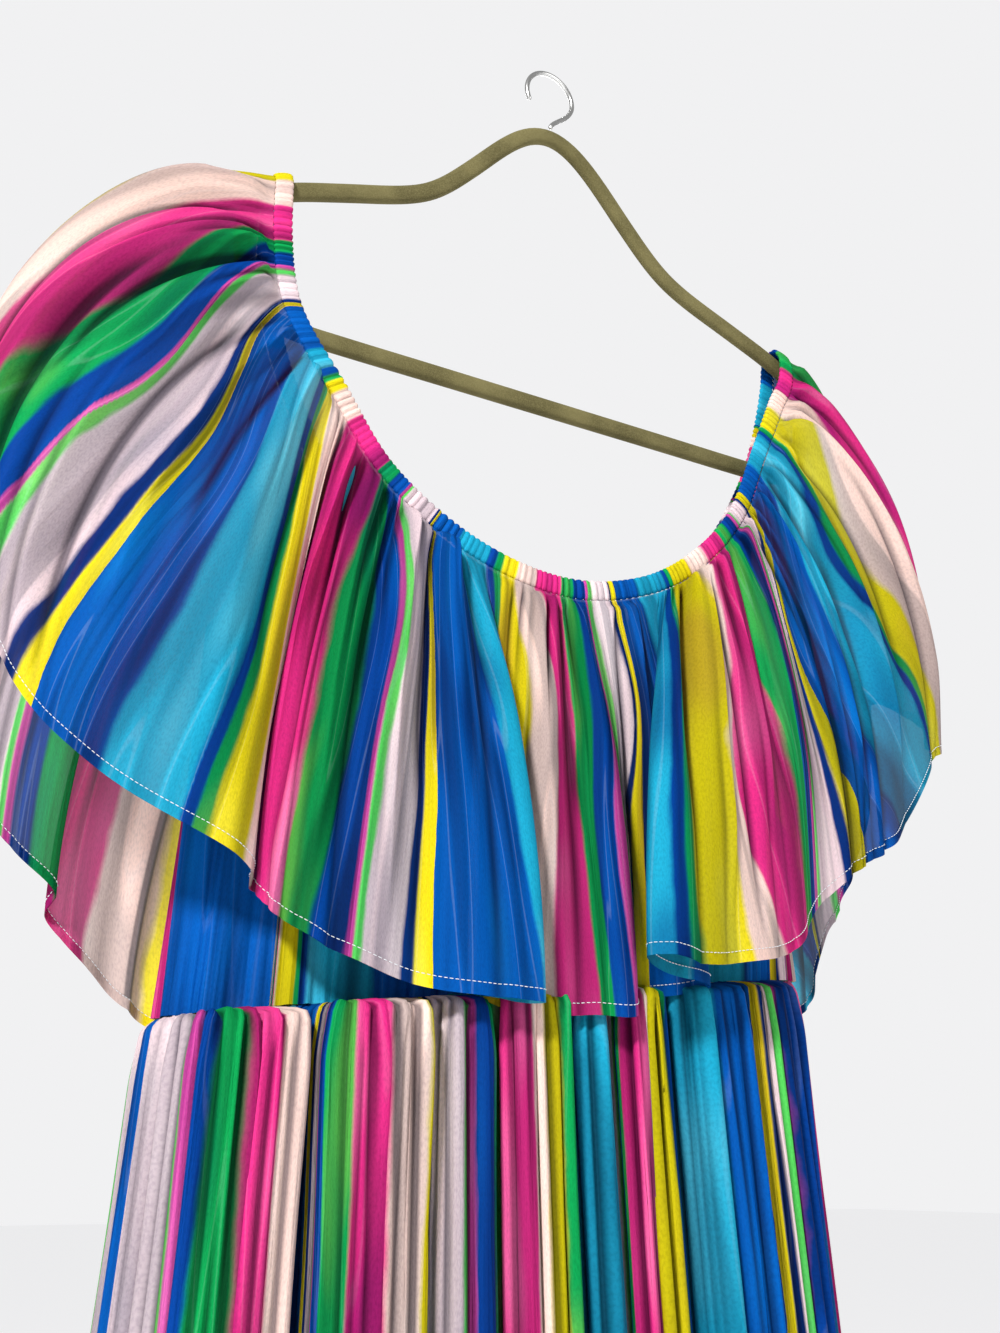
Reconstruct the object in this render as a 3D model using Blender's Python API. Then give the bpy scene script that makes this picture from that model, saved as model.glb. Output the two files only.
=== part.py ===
"""Off-shoulder midi dress with a deep gathered flounce, hanging on a slim hanger. Metres, Z up.

The origin is where the hanger's hook bears on its rail. The dress faces -Y. Each cut piece of
cloth is a closed wall of its own, and seams leave a small gap.
"""
import math

import bmesh
import bpy
import numpy as np

wall = 0.0012
seam_gap = 0.0003

hook_inner_radius = 0.017
hook_wire = 0.0036
frame_face = 0.012
frame_depth = 0.008
frame_corner = 0.003
neck_top = -0.044

casing_width = 0.012
casing_thickness = 0.004

flounce_gather_height = 0.0022
flounce_seat = 0.0008

bodice_seat = 0.0014
bodice_arm_share = 0.24
bodice_neck_shares = (0.24, 0.77)
underarm_half_width = 0.188
underarm_z = -0.452

waist_middle_x = -0.0365
waist_half_width = 0.1985
waist_half_depth_front = 0.062
waist_half_depth_back = 0.052
waist_z = -0.636
waist_slope = 0.10
waist_gathers = 10
waist_gather_height = 0.002
side_ease = 0.003

skirt_length = 0.80
narrow_fold = 0.0135
skirt_levels = [0, 0.02, 0.06, 0.30, 0.62, 1.0]
hem_spread_x = 1.30
hem_spread_y = 1.55

upright = np.array([0.0, 0.0, 1.0])
arm_shares = [0.006, 0.014, 0.986, 0.994]

# hanger frame's middle line, right half, from the top of the neck round to the bar: x, z
frame_line = [
    (0.000, -0.0500),
    (0.012, -0.0528),
    (0.026, -0.0625),
    (0.060, -0.0980),
    (0.084, -0.1230),
    (0.093, -0.1305),
    (0.104, -0.1365),
    (0.150, -0.1535),
    (0.196, -0.1705),
    (0.209, -0.1770),
    (0.2165, -0.1880),
    (0.2175, -0.2050),
    (0.2145, -0.2350),
    (0.2080, -0.2520),
    (0.1930, -0.2605),
    (0.1700, -0.2610),
    (0.0850, -0.2610),
]

# upper edge of the front neckline, left shoulder to right: share, x, y, z, lean of the cloth (degrees)
front_neck = [
    (0.000, -0.1910, 0.0000, -0.1592, -70),
    (0.006, -0.1912, -0.0050, -0.1602, -70),
    (0.014, -0.1916, -0.0085, -0.1650, -72),
    (0.035, -0.1920, -0.0105, -0.1800, -78),
    (0.075, -0.1920, -0.0120, -0.2070, -80),
    (0.137, -0.1860, -0.0140, -0.2480, -76),
    (0.222, -0.1580, -0.0200, -0.2980, -58),
    (0.305, -0.1280, -0.0260, -0.3440, -42),
    (0.400, -0.0770, -0.0340, -0.3810, -24),
    (0.485, -0.0220, -0.0400, -0.3950, 0),
    (0.575, 0.0360, -0.0390, -0.3820, 22),
    (0.695, 0.1010, -0.0300, -0.3360, 42),
    (0.765, 0.1310, -0.0220, -0.3000, 53),
    (0.835, 0.1520, -0.0170, -0.2580, 64),
    (0.915, 0.1760, -0.0135, -0.2090, 66),
    (0.965, 0.1905, -0.0105, -0.1800, 70),
    (0.986, 0.1916, -0.0085, -0.1650, 70),
    (0.994, 0.1912, -0.0050, -0.1602, 70),
    (1.000, 0.1910, 0.0000, -0.1592, 70),
]

# back neckline, the same way round and a little deeper
back_neck = [
    (0.000, -0.1910, 0.0000, -0.1592, -70),
    (0.006, -0.1912, 0.0050, -0.1602, -70),
    (0.014, -0.1916, 0.0085, -0.1650, -72),
    (0.035, -0.1920, 0.0105, -0.1800, -78),
    (0.075, -0.1920, 0.0120, -0.2090, -80),
    (0.137, -0.1850, 0.0135, -0.2530, -75),
    (0.222, -0.1600, 0.0180, -0.3100, -58),
    (0.305, -0.1280, 0.0230, -0.3600, -44),
    (0.400, -0.0780, 0.0290, -0.4010, -26),
    (0.500, -0.0120, 0.0330, -0.4180, 0),
    (0.600, 0.0560, 0.0310, -0.4020, 25),
    (0.695, 0.1070, 0.0260, -0.3590, 43),
    (0.778, 0.1450, 0.0200, -0.3080, 58),
    (0.863, 0.1740, 0.0145, -0.2500, 68),
    (0.925, 0.1860, 0.0120, -0.2080, 72),
    (0.965, 0.1910, 0.0105, -0.1800, 72),
    (0.986, 0.1916, 0.0085, -0.1650, 70),
    (0.994, 0.1912, 0.0050, -0.1602, 70),
    (1.000, 0.1910, 0.0000, -0.1592, 70),
]

# front flounce at its hem, a row for each fold's crest and hollow:
# share of the neckline, x, y, length of cloth from casing to hem, spring off the casing
front_folds = [
    (0.000, -0.340, 0.055, 0.300, 2.2),
    (0.045, -0.362, 0.020, 0.300, 2.2),
    (0.090, -0.350, -0.012, 0.300, 2.2),
    (0.137, -0.327, -0.035, 0.305, 2.0),
    (0.178, -0.294, -0.050, 0.300, 1.8),
    (0.218, -0.228, -0.067, 0.296, 1.7),
    (0.228, -0.218, -0.060, 0.292, 1.7),
    (0.243, -0.212, -0.047, 0.286, 1.7),
    (0.264, -0.206, -0.055, 0.282, 1.7),
    (0.295, -0.205, -0.072, 0.281, 1.7),
    (0.335, -0.169, -0.083, 0.278, 1.7),
    (0.368, -0.138, -0.096, 0.276, 1.7),
    (0.390, -0.100, -0.110, 0.273, 1.7),
    (0.399, -0.085, -0.108, 0.270, 1.7),
    (0.408, -0.088, -0.098, 0.264, 1.7),
    (0.420, -0.102, -0.092, 0.259, 1.7),
    (0.431, -0.107, -0.085, 0.256, 1.7),
    (0.442, -0.096, -0.081, 0.255, 1.7),
    (0.458, -0.076, -0.086, 0.256, 1.7),
    (0.484, -0.044, -0.097, 0.254, 1.7),
    (0.500, -0.027, -0.103, 0.256, 1.7),
    (0.509, -0.020, -0.095, 0.250, 1.7),
    (0.522, -0.018, -0.084, 0.244, 1.7),
    (0.545, 0.002, -0.079, 0.244, 1.7),
    (0.565, 0.028, -0.084, 0.245, 1.7),
    (0.574, 0.033, -0.092, 0.247, 1.7),
    (0.583, 0.018, -0.100, 0.252, 1.7),
    (0.592, -0.010, -0.107, 0.262, 1.7),
    (0.600, -0.028, -0.117, 0.272, 1.7),
    (0.610, -0.020, -0.126, 0.277, 1.7),
    (0.628, 0.005, -0.122, 0.279, 1.7),
    (0.655, 0.033, -0.114, 0.281, 1.7),
    (0.705, 0.091, -0.103, 0.281, 1.8),
    (0.728, 0.122, -0.083, 0.264, 1.9),
    (0.752, 0.141, -0.088, 0.263, 2.1),
    (0.800, 0.160, -0.088, 0.281, 2.3),
    (0.840, 0.197, -0.076, 0.287, 2.5),
    (0.880, 0.258, -0.055, 0.271, 2.7),
    (0.925, 0.290, -0.030, 0.285, 2.9),
    (0.965, 0.305, 0.000, 0.285, 3.0),
    (1.000, 0.300, 0.032, 0.285, 3.0),
]

# back flounce, the same columns
back_folds = [
    (0.000, -0.340, 0.055, 0.300, 2.2),
    (0.060, -0.330, 0.078, 0.322, 2.1),
    (0.120, -0.301, 0.080, 0.345, 2.0),
    (0.150, -0.268, 0.086, 0.340, 1.9),
    (0.172, -0.266, 0.098, 0.340, 1.8),
    (0.215, -0.240, 0.104, 0.332, 1.7),
    (0.265, -0.206, 0.102, 0.324, 1.7),
    (0.305, -0.178, 0.086, 0.303, 1.7),
    (0.345, -0.146, 0.112, 0.286, 1.7),
    (0.385, -0.112, 0.090, 0.270, 1.7),
    (0.425, -0.078, 0.118, 0.262, 1.7),
    (0.465, -0.048, 0.092, 0.250, 1.7),
    (0.505, -0.016, 0.120, 0.252, 1.7),
    (0.545, 0.018, 0.092, 0.248, 1.7),
    (0.585, 0.050, 0.118, 0.258, 1.7),
    (0.625, 0.088, 0.092, 0.264, 1.7),
    (0.665, 0.122, 0.114, 0.280, 1.8),
    (0.705, 0.164, 0.092, 0.296, 1.9),
    (0.745, 0.204, 0.110, 0.324, 2.0),
    (0.785, 0.241, 0.088, 0.350, 2.1),
    (0.830, 0.274, 0.092, 0.372, 2.3),
    (0.875, 0.272, 0.066, 0.348, 2.5),
    (0.920, 0.302, 0.066, 0.350, 2.7),
    (0.960, 0.304, 0.046, 0.320, 2.9),
    (1.000, 0.300, 0.032, 0.285, 3.0),
]

# skirt folds just under the waist, left to right:
# x of the middle, half width, y of the crest, y of the hollow after
front_lobes = [
    (-0.2130, 0.0270, -0.078, -0.045),
    (-0.1560, 0.0260, -0.092, -0.056),
    (-0.1130, 0.0130, -0.090, -0.058),
    (-0.0750, 0.0200, -0.094, -0.060),
    (-0.0390, 0.0110, -0.088, -0.056),
    (-0.0080, 0.0140, -0.090, -0.060),
    (0.0400, 0.0230, -0.089, -0.054),
    (0.0860, 0.0160, -0.077, -0.044),
    (0.1140, 0.0080, -0.060, -0.034),
    (0.1350, 0.0100, -0.038, -0.018),
]
back_lobes = [
    (-0.2110, 0.0210, 0.038, 0.024),
    (-0.1640, 0.0200, 0.066, 0.038),
    (-0.1190, 0.0190, 0.082, 0.050),
    (-0.0740, 0.0200, 0.080, 0.048),
    (-0.0270, 0.0190, 0.084, 0.050),
    (0.0190, 0.0210, 0.080, 0.048),
    (0.0660, 0.0190, 0.076, 0.044),
    (0.1060, 0.0150, 0.058, 0.032),
    (0.1350, 0.0100, 0.034, 0.018),
]

# across one skirt fold: offset in half widths, how far it is sunk towards the hollow
narrow_profile = [
    (-0.88, 0.42),
    (-0.50, 0.04),
    (0.00, 0.00),
    (0.50, 0.05),
    (0.88, 0.42),
]
wide_profile = [
    (-0.90, 0.42),
    (-0.66, 0.06),
    (-0.34, 0.00),
    (-0.14, 0.12),
    (0.08, 0.00),
    (0.36, 0.10),
    (0.64, 0.03),
    (0.90, 0.42),
]

# round each side, from the side seam to the first fold: share of the way, how far it stands out
side_profile = [
    (0.22, 0.0030),
    (0.44, -0.0040),
    (0.70, 0.0030),
]


def read(rows, share, column):
    """A smooth curve through one column of a table, read at a share."""
    t = np.array([row[0] for row in rows], float)
    v = np.array([row[column] for row in rows], float)
    step = np.diff(t)
    slope = np.diff(v) / step
    lean = np.empty(len(t))
    lean[0] = slope[0]
    lean[-1] = slope[-1]
    lean[1:-1] = (slope[:-1] * step[1:] + slope[1:] * step[:-1]) / (step[1:] + step[:-1])
    share = np.clip(share, t[0], t[-1])
    i = np.clip(np.searchsorted(t, share) - 1, 0, len(t) - 2)
    w = (share - t[i]) / step[i]
    return ((2 * w**3 - 3 * w**2 + 1) * v[i] + (w**3 - 2 * w**2 + w) * step[i] * lean[i]
            + (3 * w**2 - 2 * w**3) * v[i + 1] + (w**3 - w**2) * step[i] * lean[i + 1])


def unit(vectors):
    return vectors / np.maximum(np.linalg.norm(vectors, axis=-1, keepdims=True), 1e-12)


def neckline(rows, share):
    """The neckline's upper edge, and the way its cloth leaves it, across the casing."""
    edge = np.stack([read(rows, share, c) for c in (1, 2, 3)], axis=-1)
    lean = np.radians(read(rows, share, 4))
    across = np.stack([np.sin(lean), np.zeros_like(lean), -np.cos(lean)], axis=-1)
    return edge, across


def colour(name, rgb, roughness, metallic=0.0):
    material = bpy.data.materials.new(name)
    material.use_nodes = True
    shader = material.node_tree.nodes["Principled BSDF"]
    shader.inputs["Base Color"].default_value = (*rgb, 1.0)
    shader.inputs["Roughness"].default_value = roughness
    shader.inputs["Metallic"].default_value = metallic
    return material


def solid(name, points, faces, material):
    """One closed body, facing out."""
    mesh = bpy.data.meshes.new(name)
    mesh.from_pydata([tuple(p) for p in points], [], faces)
    body = bmesh.new()
    body.from_mesh(mesh)
    bmesh.ops.triangulate(body, faces=body.faces[:])
    bmesh.ops.recalc_face_normals(body, faces=body.faces[:])
    if body.calc_volume(signed=True) < 0:
        bmesh.ops.reverse_faces(body, faces=body.faces[:])
    body.to_mesh(mesh)
    body.free()
    mesh.materials.append(material)
    thing = bpy.data.objects.new(name, mesh)
    bpy.context.scene.collection.objects.link(thing)
    return thing


def grid_normals(grid):
    """Outward normals of a ring of columns (rows, columns, 3), each halfway between its two sides."""
    step = unit(np.diff(grid, axis=0))
    down = np.concatenate([step[:1], step[1:] + step[:-1], step[-1:]])
    ahead = unit(np.roll(grid, -1, axis=1) - grid)
    return unit(np.cross(down, ahead + np.roll(ahead, 1, axis=1)))


def stretch(grid, normals):
    """How much longer the wall's offset is at each column, so that it keeps its thickness at a fold."""
    ahead = unit(np.roll(grid, -1, axis=1) - grid)
    sine = np.abs(np.sum(np.cross(normals, ahead) ** 2, axis=-1)) ** 0.5
    return 1 / np.clip(sine, 0.55, 1.0)


def squared(vectors, across):
    """Unit vectors made square to the ones across them."""
    return unit(vectors - across * np.sum(vectors * across, axis=-1, keepdims=True))


def cloth(name, middle, normals, material):
    """A wall round the middle points, with its two side edges drawn in by half a seam gap."""
    middle = middle.copy()
    middle[:, 0] += squared(middle[:, 1] - middle[:, 0], unit(normals[:, 0])) * seam_gap / 2
    middle[:, -1] += squared(middle[:, -2] - middle[:, -1], unit(normals[:, -1])) * seam_gap / 2
    rows, columns = middle.shape[:2]
    outer = (middle + normals * wall / 2).reshape(-1, 3)
    inner = (middle - normals * wall / 2).reshape(-1, 3)
    count = rows * columns
    faces = []
    for i in range(rows - 1):
        for j in range(columns - 1):
            a, b = i * columns + j, i * columns + j + 1
            c, d = b + columns, a + columns
            faces += [(a, b, c), (a, c, d)]
            faces += [(c + count, b + count, a + count), (d + count, c + count, a + count)]
    border = [j for j in range(columns)]
    border += [i * columns + columns - 1 for i in range(1, rows)]
    border += [(rows - 1) * columns + j for j in range(columns - 2, -1, -1)]
    border += [i * columns for i in range(rows - 2, 0, -1)]
    for a, b in zip(border, border[1:] + border[:1]):
        faces.append((a, a + count, b + count, b))
    return solid(name, np.concatenate([outer, inner]), faces, material)


def tube(name, centres, side, face, half_side, half_face, corner, closed, material):
    """A bar of rounded section along its centres, from the two directions of its section."""
    turns = np.radians([20, 70, 110, 160, 200, 250, 290, 340])
    a = np.sign(np.cos(turns)) * (half_side - corner) + np.cos(turns) * corner
    b = np.sign(np.sin(turns)) * (half_face - corner) + np.sin(turns) * corner
    rings = centres[:, None] + side[:, None] * a[None, :, None] + face[:, None] * b[None, :, None]
    count = len(turns)
    total = len(centres)
    faces = []
    for i in range(total if closed else total - 1):
        n = (i + 1) % total
        for j in range(count):
            k = (j + 1) % count
            faces.append((i * count + j, i * count + k, n * count + k, n * count + j))
    if not closed:
        faces.append(tuple(range(count)))
        faces.append(tuple((total - 1) * count + j for j in reversed(range(count))))
    return solid(name, rings.reshape(-1, 3), faces, material)


def tangents(line, closed):
    """The way a line runs at each of its points, halfway between its two sides."""
    if closed:
        ahead = unit(np.roll(line, -1, axis=0) - line)
        return unit(ahead + np.roll(ahead, 1, axis=0))
    step = unit(np.diff(line, axis=0))
    return unit(np.concatenate([step[:1], step[1:] + step[:-1], step[-1:]]))


def hanger_frame(material):
    right = np.array(frame_line)
    lengths = np.concatenate([[0], np.cumsum(np.linalg.norm(np.diff(right, axis=0), axis=1))])
    rows = [(s, x, z) for s, (x, z) in zip(lengths, right)]
    at = np.linspace(0, lengths[-1], 26)
    half = np.stack([read(rows, at, 1), np.zeros(len(at)), read(rows, at, 2)], axis=1)
    left = half[:0:-1] * (-1, 1, 1)
    line = np.concatenate([half, left])
    along = tangents(line, True)
    side = np.tile((0.0, 1.0, 0.0), (len(line), 1))
    return tube("hanger_frame", line, side, np.cross(along, side), frame_depth / 2, frame_face / 2,
                frame_corner, True, material)


def hanger_hook(material):
    radius = hook_inner_radius + hook_wire / 2
    centre_z = -hook_inner_radius
    stem = [(0.0, neck_top + seam_gap), (0.0008, neck_top + 0.0045), (0.0075, neck_top + 0.0100),
            (0.0150, neck_top + 0.0165)]
    turns = np.radians(np.linspace(-12, 208, 23))
    ring = [(radius * math.cos(a), centre_z + radius * math.sin(a)) for a in turns]
    line = np.array([(x, 0.0, z) for x, z in stem + ring])
    along = tangents(line, False)
    along[0] = (0, 0, 1)
    side = np.tile((0.0, 1.0, 0.0), (len(line), 1))
    half = hook_wire / 2
    return tube("hanger_hook", line, side, np.cross(along, side), half, half, half * 0.98, False, material)


def casing(name, rows, share, material):
    """The neckline band that holds the elastic, as a flat tube."""
    edge, across = neckline(rows, share)
    centre = edge + across * casing_width / 2
    along = tangents(centre, False)
    along[0] = (0, -1 if rows is front_neck else 1, 0)
    along[-1] = (0, 1 if rows is front_neck else -1, 0)
    centre[0] += along[0] * seam_gap / 2
    centre[-1] -= along[-1] * seam_gap / 2
    out = unit(np.cross(along, across))
    if rows is back_neck:
        out = -out
    turns = np.radians([0, 60, 120, 180, 240, 300])
    rings = []
    for k in range(len(share)):
        ring = []
        for a in turns:
            ring.append(centre[k] + across[k] * math.cos(a) * casing_width / 2
                        + out[k] * math.sin(a) * casing_thickness / 2)
        rings.append(ring)
    count = len(turns)
    faces = []
    for i in range(len(share) - 1):
        for j in range(count):
            k = (j + 1) % count
            faces.append((i * count + j, i * count + k, (i + 1) * count + k, (i + 1) * count + j))
    faces.append(tuple(range(count)))
    faces.append(tuple((len(share) - 1) * count + j for j in reversed(range(count))))
    return solid(name, np.array(rings).reshape(-1, 3), faces, material)


def shares_through(rows, between):
    """The shares of a table's rows, with some more between each two and where the casing rounds the arm."""
    keys = [row[0] for row in rows]
    at = np.arange((len(keys) - 1) * (between + 1) + 1) / (between + 1)
    return np.unique(np.concatenate([np.interp(at, np.arange(len(keys)), keys), arm_shares]))


def flounce_column(neck_rows, fold_rows, share, levels):
    """The flounce from casing to hem at one share of the neckline, keeping its length of cloth."""
    edge, across = neckline(neck_rows, share)
    outward = -1 if neck_rows is front_neck else 1
    seat = outward * flounce_seat * min(share, 1 - share, 0.1) / 0.1
    start = edge + across * (casing_width + seam_gap) + (0, seat, 0)
    x, y, length, spring = [read(fold_rows, share, c) for c in (1, 2, 3, 4)]
    reach = np.array([x, y]) - start[:2]
    steps = 40
    v = np.linspace(0, 1, steps + 1)
    ease = 1 - (1 - v) ** spring
    sideways = np.linalg.norm(reach) * np.diff(ease)
    drops = np.sqrt(np.maximum((length / steps) ** 2 - sideways**2, 0))
    z = start[2] - np.concatenate([[0], np.cumsum(drops)])
    return np.array([(*(start[:2] + reach * np.interp(a, v, ease)), np.interp(a, v, z)) for a in levels])


def flounce(material):
    """Front and back flounces from one ring, so that they meet along the shoulders."""
    levels = [0, 0.07, 0.17, 0.32, 0.52, 0.75, 1.0]
    ahead = shares_through(front_folds, 1)
    behind = shares_through(back_folds, 2)[-2:0:-1]
    front = [flounce_column(front_neck, front_folds, s, levels) for s in ahead]
    back = [flounce_column(back_neck, back_folds, s, levels) for s in behind]
    ring = np.array(front + back).transpose(1, 0, 2)
    height = flounce_gather_height * np.clip(1 - np.array(levels) / 0.32, 0, 1)
    height[0] *= 0.4
    apart = np.linalg.norm(np.roll(ring[0], -1, axis=0) - ring[0], axis=-1)
    apart = np.clip(np.minimum(apart, np.roll(apart, 1)) / flounce_gather_height / 1.5 - 1.4, 0, 1)
    gathers = np.outer(height, np.arange(ring.shape[1]) % 2 * 2 * apart)
    leaving = np.concatenate([neckline(front_neck, ahead)[1], neckline(back_neck, behind)[1]])
    normals = grid_normals(ring)
    normals[0] = squared(normals[0], leaving)
    ring = ring + normals * gathers[:, :, None]
    normals = grid_normals(ring)
    normals[0] = squared(normals[0], leaving)
    normals = normals * stretch(ring, normals)[:, :, None]
    count = len(ahead)
    order = list(range(count - 1, ring.shape[1])) + [0]
    cloth("flounce_front", ring[:, :count], normals[:, :count], material)
    cloth("flounce_back", ring[:, order], normals[:, order], material)


def waist_height(x):
    return waist_z + waist_slope * (x - waist_middle_x)


def waist_point(angle, back):
    depth = waist_half_depth_back if back else -waist_half_depth_front
    x = waist_middle_x - waist_half_width * math.cos(angle)
    return np.array([x, depth * math.sin(angle) ** 0.8, waist_height(x)])


def bodice_top(neck_rows, turn, back):
    """Top edge of the bodice: underarm, up the armhole, along the casing, and down again."""
    inward = -bodice_seat if back else bodice_seat
    inner = bodice_arm_share
    share = np.interp(turn, (inner, 1 - inner), bodice_neck_shares)
    edge, across = neckline(neck_rows, np.array(share))
    point = edge + across * (casing_width + seam_gap) + np.array([0, inward, -0.0005])
    if inner <= turn <= 1 - inner:
        return point
    left = turn < 0.5
    w = (turn if left else 1 - turn) / inner
    half = -underarm_half_width if left else underarm_half_width
    underarm = np.array([waist_middle_x + half, 0.0, underarm_z])
    point = underarm + (point - underarm) * np.array([w**1.25, math.sin(w * math.pi / 2), w**1.5])
    return point


def bodice(material):
    """Front and back bodices from the casing to the waist, gathered into the waist seam."""
    levels = [0, 0.3, 0.6, 0.85, 1.0]
    turns = np.linspace(0, 1, 49)
    loops = []
    for back, rows in ((False, front_neck), (True, back_neck)):
        loop = []
        for turn in turns:
            top = bodice_top(rows, turn, back)
            low = waist_point(turn * math.pi, back) + (0, 0, seam_gap / 2)
            column = []
            for v in levels:
                bulge = 0.006 * math.sin(v * math.pi) * math.sin(turn * math.pi)
                point = top + (low - top) * np.array([v, v**0.8, v])
                column.append(point + (0, bulge if back else -bulge, 0))
            loop.append(column)
        loops.append(loop)
    ring = np.array(loops[0] + loops[1][-2:0:-1]).transpose(1, 0, 2)
    turn = np.concatenate([turns, turns[-2:0:-1]])
    height = waist_gather_height * np.array(levels) ** 2
    gathers = np.outer(height, np.sin(2 * math.pi * waist_gathers * turn))
    ring = ring + squared(grid_normals(ring), upright) * gathers[:, :, None]
    normals = grid_normals(ring)
    normals[-1] = squared(normals[-1], upright)
    normals = normals * stretch(ring, normals)[:, :, None]
    order = list(range(48, 96)) + [0]
    cloth("bodice_front", ring[:, :49], normals[:, :49], material)
    cloth("bodice_back", ring[:, order], normals[:, order], material)


def skirt_plan(lobes):
    """The skirt's plan, left to right, as x, y and whether it is a hollow between two folds."""
    points = []
    for k, (x, half, crest, hollow) in enumerate(lobes):
        for offset, sunk in wide_profile if half > narrow_fold else narrow_profile:
            points.append((x + half * offset, crest + (hollow - crest) * sunk, False))
        if k < len(lobes) - 1:
            after = lobes[k + 1]
            points.append(((x + half + after[0] - after[1]) / 2, hollow, True))
    left = waist_middle_x - waist_half_width - side_ease
    right = waist_middle_x + waist_half_width - side_ease
    first = points[0]
    last = points[-1]
    before = [(left, 0.0, False)]
    after = [(right, 0.0, False)]
    for along, out in side_profile:
        before.append((left + (first[0] - left) * along - out, first[1] * along, False))
        after.insert(0, (right + (last[0] - right) * along + out, last[1] * along, False))
    return before + points + after


def skirt_loop(lobes, back):
    """Columns of the skirt: gathered at the waist, deep soft folds below it, wider at the hem."""
    depth = waist_half_depth_back if back else waist_half_depth_front
    plan = skirt_plan(lobes)
    run = np.concatenate([[0], np.cumsum([math.dist(a[:2], b[:2]) for a, b in zip(plan, plan[1:])])])
    anchors = [k for k, p in enumerate(plan) if k in (0, len(plan) - 1) or p[2]]
    angles = []
    for k in anchors:
        angles.append(math.atan2(abs(plan[k][1]) / depth, (waist_middle_x - plan[k][0]) / waist_half_width))
    loop = []
    for k, (x, y, _) in enumerate(plan):
        top = waist_point(np.interp(run[k], run[anchors], angles), back)
        column = []
        for v in skirt_levels:
            fold = min(v / 0.06, 1) ** 0.8
            px = x * fold + top[0] * (1 - fold)
            py = y * fold + top[1] * (1 - fold)
            drop = skirt_length * v - (waist_z - top[2]) * v
            column.append((waist_middle_x + (px - waist_middle_x) * (1 + (hem_spread_x - 1) * v),
                           py * (1 + (hem_spread_y - 1) * v), top[2] - seam_gap / 2 - drop))
        loop.append(column)
    return loop


def skirt(material):
    """Front and back skirts, from one ring that meets at the side seams."""
    front = skirt_loop(front_lobes, False)
    back = skirt_loop(back_lobes, True)
    ring = np.array(front + back[-2:0:-1]).transpose(1, 0, 2)
    normals = grid_normals(ring)
    normals[0] = squared(normals[0], upright)
    normals = normals * stretch(ring, normals)[:, :, None]
    count = len(front)
    order = list(range(count - 1, ring.shape[1])) + [0]
    cloth("skirt_front", ring[:, :count], normals[:, :count], material)
    cloth("skirt_back", ring[:, order], normals[:, order], material)


def build():
    for thing in list(bpy.data.objects):
        bpy.data.objects.remove(thing, do_unlink=True)
    flocked = colour("flocked_plastic", (0.20, 0.17, 0.09), 0.9)
    wire = colour("hook_wire", (0.75, 0.75, 0.74), 0.25, 1.0)
    band = colour("casing_chiffon", (0.05, 0.25, 0.62), 0.7)
    sheer = colour("flounce_chiffon", (0.05, 0.32, 0.75), 0.65)
    body = colour("bodice_chiffon", (0.03, 0.24, 0.60), 0.7)
    lower = colour("skirt_chiffon", (0.85, 0.20, 0.50), 0.7)
    hanger_frame(flocked)
    hanger_hook(wire)
    casing("neckline_casing_front", front_neck, shares_through(front_folds, 1), band)
    casing("neckline_casing_back", back_neck, shares_through(back_folds, 2), band)
    flounce(sheer)
    bodice(body)
    skirt(lower)


build()
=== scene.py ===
# Off-shoulder midi dress with a striped chiffon flounce, hanging on a slim hanger.
# Metres, Z up, origin where the hook bears on its rail. The dress faces -Y.
import math

import bpy
import numpy as np
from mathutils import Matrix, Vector


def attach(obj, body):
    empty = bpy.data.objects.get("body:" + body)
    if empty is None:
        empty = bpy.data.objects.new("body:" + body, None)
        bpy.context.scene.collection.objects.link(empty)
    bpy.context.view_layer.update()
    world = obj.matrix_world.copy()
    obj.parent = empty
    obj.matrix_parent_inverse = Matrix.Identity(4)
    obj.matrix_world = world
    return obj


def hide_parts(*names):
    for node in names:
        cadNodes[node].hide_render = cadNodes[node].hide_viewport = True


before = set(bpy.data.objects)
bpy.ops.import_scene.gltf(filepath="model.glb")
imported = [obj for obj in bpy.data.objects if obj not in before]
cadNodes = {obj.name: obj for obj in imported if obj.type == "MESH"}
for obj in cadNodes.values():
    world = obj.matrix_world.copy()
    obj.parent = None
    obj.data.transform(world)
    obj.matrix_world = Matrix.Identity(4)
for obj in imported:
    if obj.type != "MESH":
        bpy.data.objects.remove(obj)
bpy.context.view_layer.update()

print("frame loaded:", len(cadNodes), "nodes")

seamGap = 0.0003
repeatWidth = 0.337

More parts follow.
